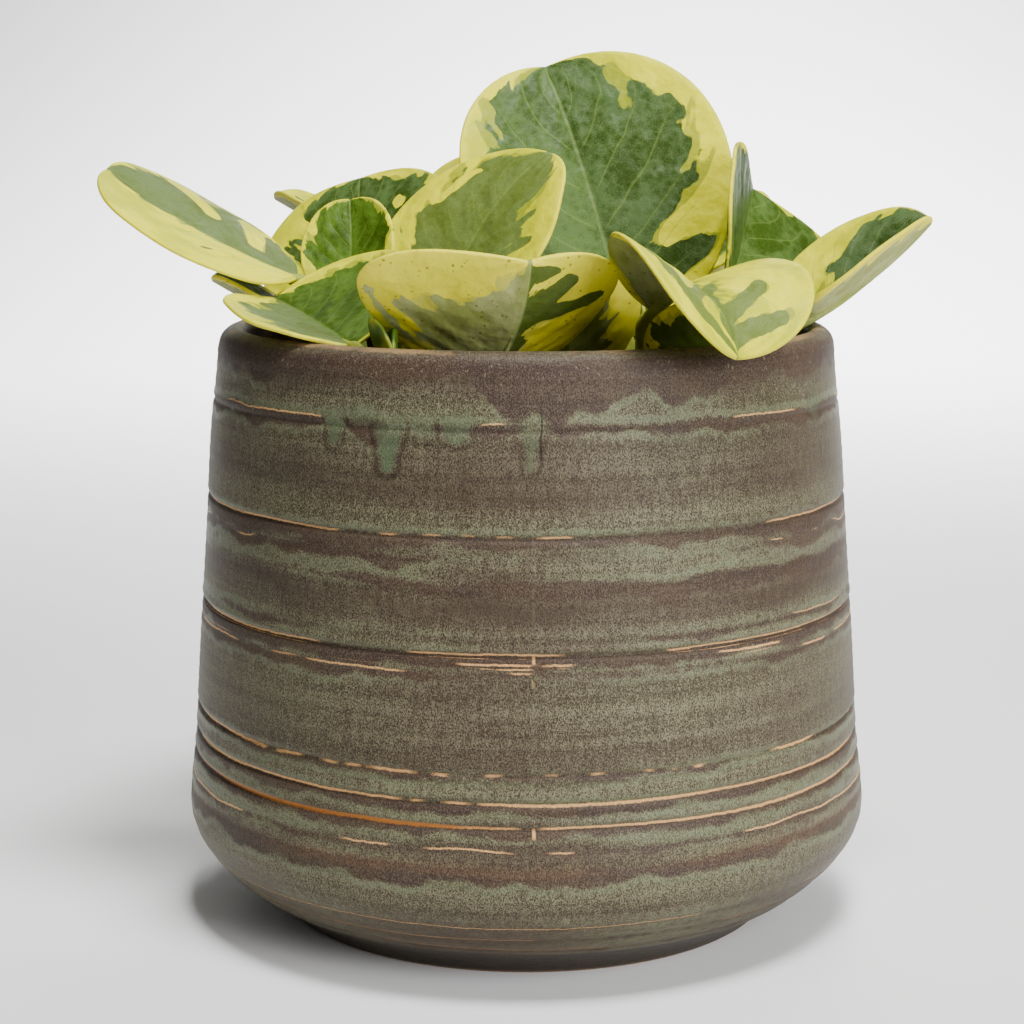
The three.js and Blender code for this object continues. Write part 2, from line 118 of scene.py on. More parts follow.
# Each leaf's stem, the height where its stalk leaves the stem, the base of its blade, heading, rise and roll,
# and then the shape of its blade, as in the part's source. fold is for the left and the right half
LEAF_KEYS = ("stem", "leaves_at", "base", "heading", "rise", "roll",
             "length", "width", "bend", "fold", "curl", "drift", "uneven", "notch", "taper")
LEAF_ROWS = {
    "leaf_far_left": ("stem_left", 133, (-53, -6, 149), 175, 20, -17,
        50.5, 42, -18, (18, 7), -22, 2, 0.04, 0.08, 0.09),
    "leaf_front_left": ("stem_front_left", 127, (-37, -49, 137.2), 118, 10, 1,
        43, 45, 0, (-1, 25), 20, -1, 0.15, 0.04, 0.04),
    "leaf_round_left": ("stem_left", 126, (-43, 7, 140), 85, 42, -11,
        46, 51, 0, (0, 20), -13, -1, 0.03, 0.06, 0),
    "leaf_young_left": ("stem_left", 135, (-41, -3, 143), 84, 60, -11,
        27, 24, 0, (9, 16), 6, -2, 0, 0.06, -0.04),
    "leaf_centre": ("stem_front", 127, (-18, -17, 140), 63, 71, -35,
        46, 46, 40, (27, -23), 3, 8, -0.09, 0.02, -0.16),
    "leaf_front": ("stem_front", 123, (-11, -35, 127), -65, 26, 12,
        45, 57, -32, (-4, 31), 11, 0, 0.15, 0.04, 0.3),
    "leaf_tall": ("stem_middle", 122, (24, 10, 134), 129, 71, -21,
        72, 65, 17, (-2, 23), 2, -2, 0.07, 0.06, 0.08),
    "leaf_front_right": ("stem_front_right", 130, (28, -36, 144), -64, 38, -5,
        43, 45, 97, (26, 34), -8, -1, 0.04, 0.08, 0.15),
    "leaf_folded_right": ("stem_right", 131, (47, 0, 143.6), 69, 52, 45,
        36, 53, 15, (49, -6), 6, 2, 0.13, 0.04, 0.22),
    "leaf_far_right": ("stem_right", 127, (60.6, 0.5, 137), 2, 24, -1,
        42.5, 36, -25, (54, 29), -17, -1, 0, 0.05, -0.1),
    "leaf_low_front": ("stem_front", 121, (9, -26, 126.2), -84, 66, 0,
        31, 33, -4, (12, 12), 10, 0, 0, 0.05, 0.1),
    "leaf_low_right": ("stem_front_right", 121, (38, -30, 124), -70, 60, 0,
        26, 29, 0, (12, 12), 8, 0, 0, 0.05, 0.1),
    "leaf_low_left": ("stem_left", 122, (-52, -3, 137), 183, 30, -5,
        24, 18, 0, (20, 15), 0, 0, 0, 0.04, 0.05),
    "leaf_back_left_high": ("stem_back_left", 139, (-42, 57, 151), 176, 38, 0,
        27, 30, 10, (12, 12), 8, 0, 0, 0.05, 0.05),
    "leaf_back_left_low": ("stem_back_left", 126, (-29, 45, 135), 106, 22, 4,
        46, 46, 20, (12, 15), 6, 0, 0.04, 0.06, 0.06),
    "leaf_back_left_inner": ("stem_back_left", 133, (-13, 37, 147), 70, 52, -6,
        41, 40, 15, (14, 10), 8, 2, 0, 0.06, 0.08),
    "leaf_left_back": ("stem_far_left", 128, (-50, 40, 142), 166, 16, -4,
        38, 27, 5, (16, 12), 6, 0, 0, 0.05, 0.05),
    "leaf_back": ("stem_back", 128, (3, 54, 143), 98, 26, 0,
        46, 48, 28, (14, 12), 6, 1, -0.04, 0.06, 0.08),
    "leaf_back_inner": ("stem_back", 135, (13, 53, 148), 62, 46, 5,
        42, 43, 14, (12, 14), 8, 0, 0, 0.06, 0.06),
    "leaf_back_right": ("stem_back_right", 127, (50, 39, 140), 40, 15, -4,
        44, 43, 14, (12, 12), 6, 0, 0.03, 0.06, 0.06),
    "leaf_back_right_inner": ("stem_back_right", 132, (43, 46, 147), 74, 40, 4,
        36, 33, 18, (14, 12), 8, 0, 0, 0.06, 0.06),
}
LEAVES = {name: dict(zip(LEAF_KEYS, row)) for name, row in LEAF_ROWS.items()}
STEMS = {
    "stem_front_left": dict(foot=(-28, -51), top=(-29, -52, 134), heading=20),
    "stem_left": dict(foot=(-37, -15), top=(-40, -12, 138), heading=200),
    "stem_front": dict(foot=(-13, -23), top=(-15, -22, 131), heading=160),
    "stem_middle": dict(foot=(29, 2), top=(30, 2, 134), heading=330),
    "stem_front_right": dict(foot=(27, -17), top=(27, -19, 137), heading=170),
    "stem_right": dict(foot=(47, -9), top=(49, -7, 136), heading=250),
    "stem_back_left": dict(foot=(-29, 32), top=(-31, 34, 142), heading=260),
    "stem_far_left": dict(foot=(-44, 26), top=(-45, 27, 134), heading=240),
    "stem_back": dict(foot=(6, 42), top=(6, 45, 142), heading=200),
    "stem_back_right": dict(foot=(39, 31), top=(41, 33, 137), heading=190),
}
# Green centre of each leaf: how far it reaches out on the left and the right half, as (share of the length,
# share of the half's width), then strokes of green (+) or yellow (-) as (s, t, s, t, width, strength), with t
# below 0 on the left half. fresh is 1 for fresh green, 0 for grey-green and below 0 for a pale olive green,
# partly the leaf's own tone and partly painted sheen, and fresh_shade_sheen_left is for the left half where
# the two differ.
# Some fresh and fresh_shade_sheen_left values are partly painted shade and painted sheen: a deeper green on a
# leaf or half that lies in shade, a paler one where light falls on it
MARKINGS = {
    "leaf_far_left": dict(left=((0, .1), (.3, .05), (.5, .1), (.7, .2), (.85, .4), (1, .5)),
        right=((0, .95), (1, .9)),
        strokes=((.55, -.8, .33, -.5, .055, .42), (.62, .8, .5, .45, .05, -.8),
        (.37, .8, .26, .35, .055, -.8)),
        fresh=-.4),
    "leaf_front_left": dict(left=((0, .9), (.4, .8), (.6, .62), (.75, .46), (.9, .26), (1, .2)),
        right=((0, 1), (.5, .98), (.7, .88), (.8, .76), (.9, .55), (1, .5)),
        strokes=((.66, -.75, .5, -.6, .06, .35),), fresh=.8, fresh_shade_sheen_left=-.35),
    "leaf_round_left": dict(left=((0, .5), (.45, .55), (.55, .66), (.7, .8), (.85, .85), (1, .8)),
        right=((0, .8), (.6, .82), (.75, .78), (.87, .62), (1, .5)),
        strokes=((.66, -.85, .61, -.5, .045, -.6), (.64, .52, .645, .53, .035, -.9)), fresh=.35),
    "leaf_young_left": dict(left=((0, .6), (.3, .76), (.5, .84), (.8, .84), (1, .85)),
        right=((0, .9), (.6, .97), (1, .9)), fresh=1),
    "leaf_centre": dict(left=((0, .5), (.37, .6), (.46, .68), (.56, .76), (.63, .8), (.71, .88), (.85, .85),
        (1, .7)),
        right=((0, .45), (.35, .55), (.48, .64), (.55, .52), (.65, .52), (.75, .7), (.83, .8), (1, .9)),
        strokes=((.6, -.66, .72, -.7, .03, -.45),), fresh=-.5),
    "leaf_front": dict(left=((0, .15), (1, .15)),
        right=((0, .85), (.3, .74), (.41, .66), (.5, .63), (.6, .57), (.66, .48), (.7, .37), (.75, .25),
        (.85, .22), (1, .3)),
        strokes=((.95, -.1, .9, -.6, .05, .7), (.72, -.08, .79, -.62, .045, .8),
        (.66, -.04, .61, -.82, .045, .8), (.57, .95, .36, .8, .03, .36)),
        fresh=0, fresh_shade_sheen_left=.8),
    "leaf_tall": dict(left=((0, .25), (.12, .4), (.22, .72), (.3, .84), (.64, .86), (.83, .8), (1, .85)),
        right=((0, .3), (.15, .38), (.25, .46), (.33, .6), (.45, .76), (.6, .78), (.75, .7), (.87, .76),
        (1, .9)),
        strokes=((.2, .42, .33, .85, .075, .75), (.145, .6, .18, .72, .04, .6),
        (.37, .9, .325, .56, .045, -.8)),
        fresh=.2, fresh_shade_sheen_left=.45),
    "leaf_front_right": dict(left=((0, .3), (.3, .1), (1, .05)),
        right=((0, .85), (.36, .84), (.45, .3), (.6, .05), (1, .05)),
        strokes=((.8, .7, .52, -.1, .035, .5), (.85, .15, .62, -.52, .05, .75),
        (.92, -.1, .77, -.82, .07, .8), (.38, .86, .96, .5, .11, .75)),
        fresh=-.6),
    "leaf_folded_right": dict(left=((0, .95), (1, .9)), right=((0, 1), (.7, .97), (1, .93)), fresh=.5),
    "leaf_far_right": dict(left=((0, .1), (.45, .25), (.55, .5), (.62, .68), (.69, .85), (.9, .95),
        (1, .95)),
        right=((0, .8), (.5, .72), (1, .75)),
        strokes=((.42, -.45, .5, -.4, .05, .35),), fresh=0),
    "leaf_low_front": dict(left=((0, .5), (1, .55)), right=((0, .5), (1, .5)), fresh=.5),
    "leaf_low_right": dict(left=((0, .9), (1, .9)), right=((0, .9), (1, .85)), fresh=.8),
    "leaf_low_left": dict(left=((0, .9), (1, .9)), right=((0, .9), (1, .9)), fresh=.2),
    "leaf_back_left_high": dict(left=((0, .8), (1, .7)), right=((0, .6), (1, .5)), fresh=.2),
    "leaf_back_left_low": dict(left=((0, .6), (.5, .7), (1, .6)),
        right=((0, .3), (.5, .4), (1, .5)), fresh=.3),
    "leaf_back_left_inner": dict(left=((0, .7), (1, .8)), right=((0, .7), (1, .6)), fresh=.4),
    "leaf_left_back": dict(left=((0, .3), (.6, .5), (1, .4)), right=((0, .8), (1, .9)), fresh=.2),
    "leaf_back": dict(left=((0, .6), (.6, .75), (1, .7)), right=((0, .7), (.6, .66), (1, .6)), fresh=.3),
    "leaf_back_inner": dict(left=((0, .75), (1, .7)), right=((0, .2), (.6, .35), (1, .5)), fresh=.5),
    "leaf_back_right": dict(left=((0, .5), (.5, .62), (1, .7)), right=((0, .7), (1, .75)), fresh=.2),
    "leaf_back_right_inner": dict(left=((0, .8), (1, .85)), right=((0, .6), (1, .7)), fresh=.6),
}
YOUNG_MARKING = dict(left=((0, .8), (1, .7)), right=((0, .8), (1, .7)))

# Where the glaze breaks on an edge: height of the edge, how bold its line is, how rusty (a number, or pairs
# of degrees and number), how wavy it runs, how deep the bare band under it is as (degrees from the front,
# depth), and where the line shows as (from, to) on the front half. The degrees are read as if from far away.
# The camera is only this far from the axis of a wall of this radius, and true_angle allows for that
EYE_DISTANCE = 550
WALL_RADIUS = 76
BREAKS = [
    (136.9, 0, 0, 0.4, ((-180, 5), (-60, 6), (-30, 5), (-12, 5), (0, 12), (12, 11), (30, 8), (60, 6),
     (180, 5)), ()),
    (123.6, 0.5, 0.1, 0.5, ((-180, 3), (-75, 3), (-42, 3), (-38, -2), (-34, 4.6), (-28, 4.2), (-25, -2),
     (-20, 0.8), (-8, 3.2), (-2, 2.6), (2, -1), (6, 2), (25, 2.2), (50, 3), (75, 3), (180, 3)), ((-74, -41),
     (-8.5, -3.5), (42, 60), (82, 96))),
    (100.3, 0.75, 0.3, 0.25, ((-180, 3), (-80, 3.4), (-40, 3.2), (-10, 2.4), (12, 2), (40, 2.2), (60, 3.6),
     (180, 3)), ((-96, -36), (-28, -24), (-19.4, -15.6), (-12.5, -9.7), (-5.2, -2.5), (2, 8.8), (50, 96))),
    (96.4, 0.35, 0.2, 1.2, ((-180, 1), (-80, 2.4), (-58, 1.6), (-50, 2.6), (-20, 2.2), (-8, -1), (20, -1),
     (45, 0.8), (60, 2.6), (180, 1)), ((-96, -80), (-65, -58), (50, 54), (64, 66.5), (74, 96))),
    (91.0, 0, 0, 1.3, ((-180, 2), (-60, -1), (-30, 2), (0, 3), (20, 4), (45, 4.6), (70, 4), (180, 2)), ()),
    (79.4, 0.3, 0.2, 0.5, ((-180, 1), (-85, -1), (-60, 1.6), (-45, 1.2), (-30, -2), (12, -2), (25, 1.4),
     (55, 1.2), (90, 1.2), (180, 1)), ((56, 76),)),
    (76, 0.75, 0.2, 0.2, ((-180, 3), (-60, 3), (-20, 3), (0, 2.6), (30, 2.8), (60, 3), (180, 3)),
     ((-96, -40), (-22, 7), (26, 96))),
    (74.2, 0.7, 0, 0.12, ((-180, 0.5), (180, 0.5)), ((-12.5, 1.8), (3, 9), (36, 52))),
    (72, 0.6, 0.35, 0.3, ((-180, 1), (-75, 1.6), (-52, 2.2), (-22, 2), (-10, 0.8), (30, 0.8), (60, 1.4),
     (180, 1)), ((-85, -63), (-52, -45), (-43, -22), (-3, 1.6), (58, 68), (72, 96))),
    (50.8, 1, 0.05, 0.3, ((-180, 0.8), (-83, 1.2), (-30, 1.1), (0, 0.9), (35, 1.1), (45, -0.5), (62, 1),
     (180, 0.8)), ((-96, -52), (-50.5, -43), (-39, -35), (-33.9, -30), (-28.8, -19.6), (-17, -13.4),
     (-7.6, -4.1), (3.3, 5.9), (11.1, 14.5), (21, 22.9), (26, 27.5), (31, 33.7), (49, 62), (80, 96))),
    (44.7, 1, 0.15, 0.12, ((-180, 2), (-70, 2.2), (0, 2.1), (60, 1.8), (180, 2)), ((-96, -22), (-21, -17.5),
     (-15, -9.6), (-8.8, 96))),
    (39.6, 1, ((-180, 0.5), (-80, 0.6), (-60, 1), (-20, 1), (-5, 0.5), (5, 0.15), (90, 0.15),
     (180, 0.5)), 0.12, ((-180, 1.6), (-60, 1.8), (0, 2), (60, 1.4), (180, 1.6)), ((-96, -1.2), (2.4, 96))),
    (34.8, 0.6, 0.15, 0.5, ((-180, 1), (-60, 1), (-20, 1.3), (-2, -0.6), (4, 1.2), (30, 1), (60, 1.2),
     (180, 1)), ((-96, -58), (-34, -24), (-18, -2.4), (4, 8.5), (41, 96))),
    (31.2, 0, 1, 0.5, ((-180, 2.5), (-70, 3), (-30, 4), (0, 3.6), (30, 3), (60, 2.6), (180, 2.5)), ()),
    (17.4, 0.12, 0.1, 0.1, ((-180, 0.3), (180, 0.3)), ((-76, 34), (60, 96))),
    (13.6, 0.12, 0.5, 0.1, ((-180, 0.6), (180, 0.6)), ((-66, 2), (40, 80))),
    (10.2, 0.1, 0.6, 0.2, ((-180, 0.8), (180, 0.8)), ((-30, 20),)),
]
# Where the hidden side starts and ends, in degrees, and how long the lines and the gaps drawn there may be
BEHIND = (96, 262)
BEHIND_LINES = (4, 40)
BEHIND_GAPS = (3, 40)
# Waves of the edges and bands around the pot, as (waves around, size)
EDGE_SWAY = [(2, 0.12), (5, 0.1), (9, 0.08)]
EDGE_WAVES = [(11, 0.3), (19, 0.25), (31, 0.2)]
BAND_WAVES = [(13, 1), (23, 0.8), (37, 0.6), (53, 0.5)]
ZONE_WAVES = [(2, 1.0), (5, 0.8), (9, 0.6), (17, 0.5)]
THICK_WAVES = [(1, 0.5), (3, 0.4), (7, 0.3)]
# Values that no edge is near enough to change, and how far from an edge its line can show
FAR_BAND = -9.0
FAR_LINE = 9.0
NO_GATE = -4.0
LINE_REACH = 0.85
# Zones of thicker, greener glaze as (height, half height, strength)
THICK_ZONES = [(125, 4, 0.9), (103.5, 3, 0.45), (93, 3, 0.35), (86, 3, -0.4), (79, 3, 0.2), (65, 7, 0.25),
               (48, 2.5, 0.5), (42, 1.5, 0.6), (36.8, 1.5, 0.6), (24, 4, 0.55), (132, 5, -0.32),
               (109, 4, -0.2)]
# Runs of thick glaze that hang from the shoulder, as (angle, height of the end, half width, strength)
RUNS = [(-33.4, 117.6, 1.9, 0.8), (-22.9, 112.6, 1.9, 0.95), (-28.2, 121.8, 3.6, 0.4), (-17, 119.6, 2.4, 0.4),
        (-11.5, 119.0, 3.0, 0.6), (0.6, 113.6, 1.2, 0.5), (61, 120, 2.5, 0.4), (118, 113, 1.5, 0.8),
        (124, 119, 4.0, 0.5), (150, 117.5, 2.6, 0.5), (-110, 115, 1.7, 0.8), (-117, 120, 4.0, 0.5),
        (-150, 119, 3.5, 0.4)]
SHOULDER = 128
# Millimetres of wall in a degree, then a thin crack, the seam down the front and the places of single marks
DEGREE = 1.27
CRACK_ANGLE = 2.4
SEAM_ANGLE = 1.2
SEAM_TICK = 38.6
SEAM_PATCH = 73
RIM_LINE = 137.9
GLOW_HEIGHT = 31.0
INNER_RIM_RADIUS = 68.4
# Heights between which marks, and the painted shade inside and low on the wall, come in, as (not yet, fully)
CRACK_START = (114, 117)
CRACK_END = (SHOULDER, 125)
SEAM_START = (40, 46)
SEAM_END = (106, 98)
RIM_FLECKS = (129, 134)
INSIDE_SHADE = (138.4, 137)
LOW_SHADE = (34, 8)
BARE_FOOT = (1.0, 0.3)
OLD_STEM = (126, 117)

# Noises of the glaze as (waves around, waves up, detail, roughness), with the waves per metre
GLAZE_NOISES = {
    "wide": (16, 75, 3, 0.5), "sway": (60, 22, 2, 0.5), "ragged": (420, 260, 2, 0.5),
    "streak": (900, 200, 2, 0.5), "grain": (3800, 2700, 2, 0.6), "rings": (9, 620, 2, 0.5),
    "lumps": (420, 420, 2, 0.5), "bumps": (3000, 2000, 1, 0.5),
}
POT_NUMBERS = ("band", "line", "gate", "warm", "bold", "thick")
LEAF_NUMBERS = ("across", "vein", "centre", "fresh", "seed", "rib", "under", "stalk")


class Value:
    """A socket whose number can be used in Python arithmetic."""

    def __init__(self, look, socket):
        self.look = look
        self.socket = socket

    def __add__(self, other):
        return self.look.maths("ADD", self, other)

    __radd__ = __add__

    def __sub__(self, other):
        return self.look.maths("SUBTRACT", self, other)

    def __rsub__(self, other):
        return self.look.maths("SUBTRACT", other, self)

    def __mul__(self, other):
        return self.look.maths("MULTIPLY", self, other)

    __rmul__ = __mul__

    def __abs__(self):
        return self.look.maths("ABSOLUTE", self)


class Look:
    """A material under construction."""

    def __init__(self, name, **uniform):
        self.material = bpy.data.materials.new(name)
        self.material.use_nodes = True
        self.tree = self.material.node_tree
        self.tree.nodes.clear()
        self.shader = self.tree.nodes.new("ShaderNodeBsdfPrincipled")
        end = self.tree.nodes.new("ShaderNodeOutputMaterial")
        self.tree.links.new(self.shader.outputs[0], end.inputs[0])
        for socket, value in uniform.items():
            self.shader.inputs[socket.replace("_", " ")].default_value = value

    def node(self, kind, settings, sockets, output=0):
        """Adds a node: its settings first, then values or links for its sockets."""
        node = self.tree.nodes.new(kind)
        for key, value in settings.items():
            setattr(node, key, value)
        for key, value in sockets.items():
            self.feed(node.inputs[key], value)
        return Value(self, node.outputs[output])

    def feed(self, socket, value):
        if isinstance(value, Value):
            self.tree.links.new(value.socket, socket)
        else:
            socket.default_value = value

    def maths(self, operation, *values):
        return self.node("ShaderNodeMath", {"operation": operation}, dict(enumerate(values)))

    def most(self, a, b):
        return self.maths("MAXIMUM", a, b)

    def ramp(self, value, low, high):
        """0 below low, 1 above high, smooth between. The other way round where low is above high."""
        return self.node("ShaderNodeMapRange", {"interpolation_type": "SMOOTHSTEP"},
                         {"Value": value, "From Min": low, "From Max": high})

    def line(self, value, middle, half):
        """1 on a line at middle, 0 from half away."""
        return 1 - self.ramp(abs(value - middle), half * 0.35, half)

    def mix(self, factor, a, b):
        return self.node("ShaderNodeMix", {"data_type": "RGBA"}, {0: factor, 6: a, 7: b}, 2)

    def attribute(self, name):
        return self.node("ShaderNodeAttribute", {"attribute_name": name}, {}, 2)

    def where(self):
        """The piece's own coordinates in metres."""
        return self.node("ShaderNodeTexCoord", {}, {}, 3)

    def place(self):
        """The same coordinates as three numbers."""
        where = self.where()
        return [self.node("ShaderNodeSeparateXYZ", {}, {0: where}, k) for k in range(3)]

    def vector(self, x, y, z):
        return self.node("ShaderNodeCombineXYZ", {}, {0: x, 1: y, 2: z})

    def noise(self, vector, scale=1.0, detail=2.0, roughness=0.5):
        return self.node("ShaderNodeTexNoise", {},
                         {"Vector": vector, "Scale": scale, "Detail": detail, "Roughness": roughness})

    def cells(self, vector, scale):
        return self.node("ShaderNodeTexVoronoi", {}, {"Vector": vector, "Scale": scale})

    def bump(self, height, distance, strength):
        return self.node("ShaderNodeBump", {}, {"Height": height, "Distance": distance, "Strength": strength})

    def finish(self, color, roughness=None, normal=None):
        for socket, value in (("Base Color", color), ("Roughness", roughness), ("Normal", normal)):
            if value is not None:
                self.feed(self.shader.inputs[socket], value)
        return self.material


def tone(red, green, blue):
    """A display colour, 0 to 255, as the linear colour that a socket takes."""
    share = [c / 255 for c in (red, green, blue)]
    return (*[c / 12.92 if c <= 0.04045 else ((c + 0.055) / 1.055) ** 2.4 for c in share], 1.0)


# Glaze colours
GLAZE_BROWN = tone(66, 54, 45)
GLAZE_OLIVE = tone(70, 64, 47)
GLAZE_GRIT = tone(122, 117, 93)
GLAZE_GRIT_DIM = tone(100, 88, 74)
GLAZE_DARK = tone(34, 26, 20)
GLAZE_BARE = tone(56, 43, 39)
GLAZE_BARE_WARM = tone(62, 47, 38)
GLAZE_CELADON = tone(113, 119, 91)
GLAZE_RUN = tone(82, 99, 71)
BREAK_PALE = tone(234, 180, 116)
BREAK_RUST = tone(182, 116, 52)
CLAY_BARE = tone(150, 120, 90)
CLAY_DARK = tone(112, 84, 62)

# Soil colours
SOIL_DARK = tone(46, 32, 22)
SOIL_BROWN = tone(78, 58, 40)
SOIL_CRUMB = tone(110, 86, 60)
BARK = tone(104, 74, 48)
PERLITE = tone(196, 190, 176)

# Stem colours
STEM_GREEN = tone(98, 116, 36)
STEM_PALE = tone(138, 148, 60)
STEM_RUSSET = tone(108, 82, 46)
STEM_OLD = tone(92, 84, 46)
TIP_GREEN = tone(66, 96, 18)
TIP_PALE = tone(140, 152, 44)

# Leaf colours
YELLOW_CREAM = tone(218, 214, 0)
YELLOW_LIME = tone(186, 188, 0)
GREEN_VEIL = tone(122, 134, 42)
GREEN_VEIL_DEEP = tone(92, 112, 38)
GREEN_DEEP = tone(32, 58, 18)
GREEN_GREY = tone(70, 93, 56)
GREEN_PAINTED_SHEEN = tone(112, 128, 52)
GREEN_FRESH = tone(38, 68, 6)
GREEN_FRESH_LIGHT = tone(70, 102, 22)
VEIN_LIGHT = tone(112, 134, 60)
MARGIN_CREAM = tone(220, 214, 30)
UNDER_CREAM = tone(248, 234, 66)
UNDER_LIME = tone(200, 194, 10)
UNDER_GREEN = tone(136, 145, 76)
UNDER_GREY = tone(162, 168, 108)
UNDER_DOT = tone(96, 92, 20)
PETIOLE_GREEN = tone(118, 132, 34)
PETIOLE_PALE = tone(168, 174, 60)
GRAIN_LIGHT = tone(196, 202, 120)
GRAIN_DARK = tone(62, 72, 14)


def glaze_fields(look):
    """Places on the pot, noises and the pot's own numbers, which all parts of the glaze read."""
    x, y, height = look.place()
    noises = {name: look.noise(look.vector(x * around, y * around, height * up), 1.0, detail, roughness)
              for name, (around, up, detail, roughness) in GLAZE_NOISES.items()}
    on = SimpleNamespace(**noises, **{name: look.attribute(name) for name in POT_NUMBERS})
    on.z = height * 1000
    on.around = look.maths("ARCTAN2", x, y * -1) * (180 / math.pi)
    on.far = look.maths("SQRT", x * x + y * y) * 1000
    on.flecks = look.noise(look.vector(x * 1500, y * 1500, height * 1000 + x * 500), 1.0, 1.0)
    on.edge = on.band + ((on.ragged - 0.5) * 1.7 + (on.streak - 0.5) * 1.6)
    on.thick = on.thick + (on.wide - 0.5) * 1.3 + (on.streak - 0.5) * 0.4
    on.speck = look.ramp(on.grain + (on.streak - 0.5) * 0.14 + (on.rings - 0.5) * 0.22, 0.43, 0.64)
    on.bare = look.ramp(on.edge, -0.35, 0.6)
    on.rolled = look.line(on.edge, -0.95, 1.1) * look.ramp(on.thick + on.ragged * 0.8, 0.25, 1.0)
    return on


def glaze_ground(look, on):
    """Olive glaze that thins to brown, with pale grit and dark pits, bare bands and their rolled edges."""
    body = look.mix(look.ramp(on.thick, -0.3, 0.7), GLAZE_BROWN, GLAZE_OLIVE)
    body = look.mix(on.speck * look.ramp(on.thick, -0.9, 0.6), body, GLAZE_GRIT)
    body = look.mix(look.ramp(on.grain, 0.44, 0.3) * 0.75, body, GLAZE_DARK)
    bare_tone = look.mix(look.ramp(on.sway, 0.4, 0.6), GLAZE_BARE, GLAZE_BARE_WARM)
    body = look.mix(on.bare * 0.88, body, look.mix(on.speck * 0.6, bare_tone, GLAZE_GRIT_DIM))
    return look.mix(on.rolled * (0.25 + on.speck * 0.6), body, GLAZE_CELADON)


def glaze_runs(look, on, body):
    """Runs of thick glaze with a dark outline, and a thin crack between two of them."""
    for angle, end, width, strength in RUNS:
        across = abs((on.around - angle) * DEGREE + (on.sway - 0.5) * 1.6 + (on.ragged - 0.5) * 0.7)
        along = look.most(end + width - on.z, 0.0)
        flare = look.most(on.z - (end + 3.5), 0.0) * 0.32
        away = look.maths("SQRT", across * across + along * along) - flare
        fade = look.ramp(on.z, SHOULDER, end + 4)
        body = look.mix(look.line(away, width + 0.7, 0.8) * fade * 0.5 * strength, body, GLAZE_DARK)
        run = look.ramp(away, width, width - 0.9) * fade * strength * (0.6 + on.speck * 0.3)
        body = look.mix(run, body, GLAZE_RUN)
    crack = look.line((on.around - CRACK_ANGLE) * DEGREE + (on.ragged - 0.5) * 1.2, 0, 0.35)
    crack = crack * look.ramp(on.z, *CRACK_START) * look.ramp(on.z, *CRACK_END)
    return look.mix(crack * 0.7, body, GLAZE_DARK)


def glaze_breaks(look, on, body):
    """Ochre lines where the glaze breaks on an edge, at the seam and on the rim, with flecks and a glow."""
    width = 0.1 + on.bold * 0.3 + look.ramp(on.warm, 0.5, 1.0) * on.bold * 0.3
    ochre = look.line(on.line + (on.ragged - 0.5) * 0.45 + (on.streak - 0.5) * 0.3, 0.0, width)
    ochre = ochre * look.ramp(on.gate + (on.ragged - 0.5) * 2.4, -0.4, 1.6)
    ochre = ochre * (0.35 + on.bold * 0.35 + on.speck * 0.4)
    seam = look.line(on.around + (on.ragged - 0.5) * 0.5, SEAM_ANGLE, 0.4)
    trace = seam * look.ramp(on.z, *SEAM_START) * look.ramp(on.z, *SEAM_END)
    body = look.mix(trace * (0.03 + look.ramp(on.ragged, 0.45, 0.6) * 0.15), body, GLAZE_GRIT)
    patch = look.line(on.z, SEAM_PATCH, 4) * look.ramp(on.ragged, 0.4, 0.5)
    seam = seam * look.most(patch, look.line(on.z, SEAM_TICK, 1.4))
    lip = look.line(on.z + (on.ragged - 0.5) * 0.9, RIM_LINE, 0.6) * look.ramp(on.sway, 0.48, 0.58)
    ochre = look.most(look.most(ochre, seam * 0.8), lip * 0.2)
    flecks = look.ramp(on.flecks, 0.68, 0.74) * look.ramp(on.z, *RIM_FLECKS)
    body = look.mix(flecks * 0.65, body, GLAZE_GRIT)
    glow = look.line(on.z + (on.sway - 0.5) * 3, GLOW_HEIGHT, 2.2)
    glow = glow * look.ramp(on.wide + (on.streak - 0.5) * 0.4, 0.35, 0.65)
    body = look.mix(glow * 0.05, body, BREAK_RUST)
    rust = look.mix(look.ramp(on.warm + (on.sway - 0.5) * 0.7, 0.3, 0.8), BREAK_PALE, BREAK_RUST)
    return look.mix(ochre * 0.95, body, rust)


def glaze_look():
    """Matte speckled glaze, with painted shade inside and low on the wall, and bare clay under the foot."""
    look = Look("speckled_glaze", Specular_IOR_Level=0.14)
    on = glaze_fields(look)
    body = glaze_breaks(look, on, glaze_runs(look, on, glaze_ground(look, on)))
    # Painted shade: the inner wall is darkened towards the dark glaze colour
    inside = look.ramp(on.far, INNER_RIM_RADIUS, INNER_RIM_RADIUS - 0.8) * look.ramp(on.z, *INSIDE_SHADE)
    body = look.mix(inside * 0.6, body, GLAZE_DARK)
    # Painted shade: darker low on the wall, where it curves under towards the foot
    body = look.mix(look.ramp(on.z, *LOW_SHADE) * 0.38, body, GLAZE_DARK)
    clay = look.mix(on.speck, CLAY_BARE, CLAY_DARK)
    body = look.mix(look.ramp(on.z, *BARE_FOOT) * 0.9, body, clay)
    rough = 0.52 + (on.speck - 0.5) * 0.2 + on.bare * 0.05 - on.rolled * 0.08
    return look.finish(body, rough, look.bump(on.bumps * 0.3 + on.lumps * 0.45, 0.0006, 0.7))


def soil_look():
    """Dark crumbly mix with brown bark chips and pale perlite grains."""
    look = Look("potting_mix", Roughness=0.95)
    where = look.where()
    fine = look.noise(where, 900.0, 3.0, 0.7)
    patch = look.noise(where, 70.0, 2.0)
    crumbs = look.cells(where, 420.0)
    chip = look.attribute("chip")
    color = look.mix(look.ramp(patch, 0.4, 0.62), SOIL_DARK, SOIL_BROWN)
    color = look.mix(look.ramp(fine, 0.52, 0.75) * 0.6, color, SOIL_CRUMB)
    color = look.mix(look.ramp(chip, 0.2, 0.5) * 0.8, color, BARK)
    color = look.mix(look.ramp(chip, 0.75, 0.95), color, PERLITE)
    return look.finish(color, None, look.bump(fine * 0.5 + crumbs, 0.0012, 0.9))


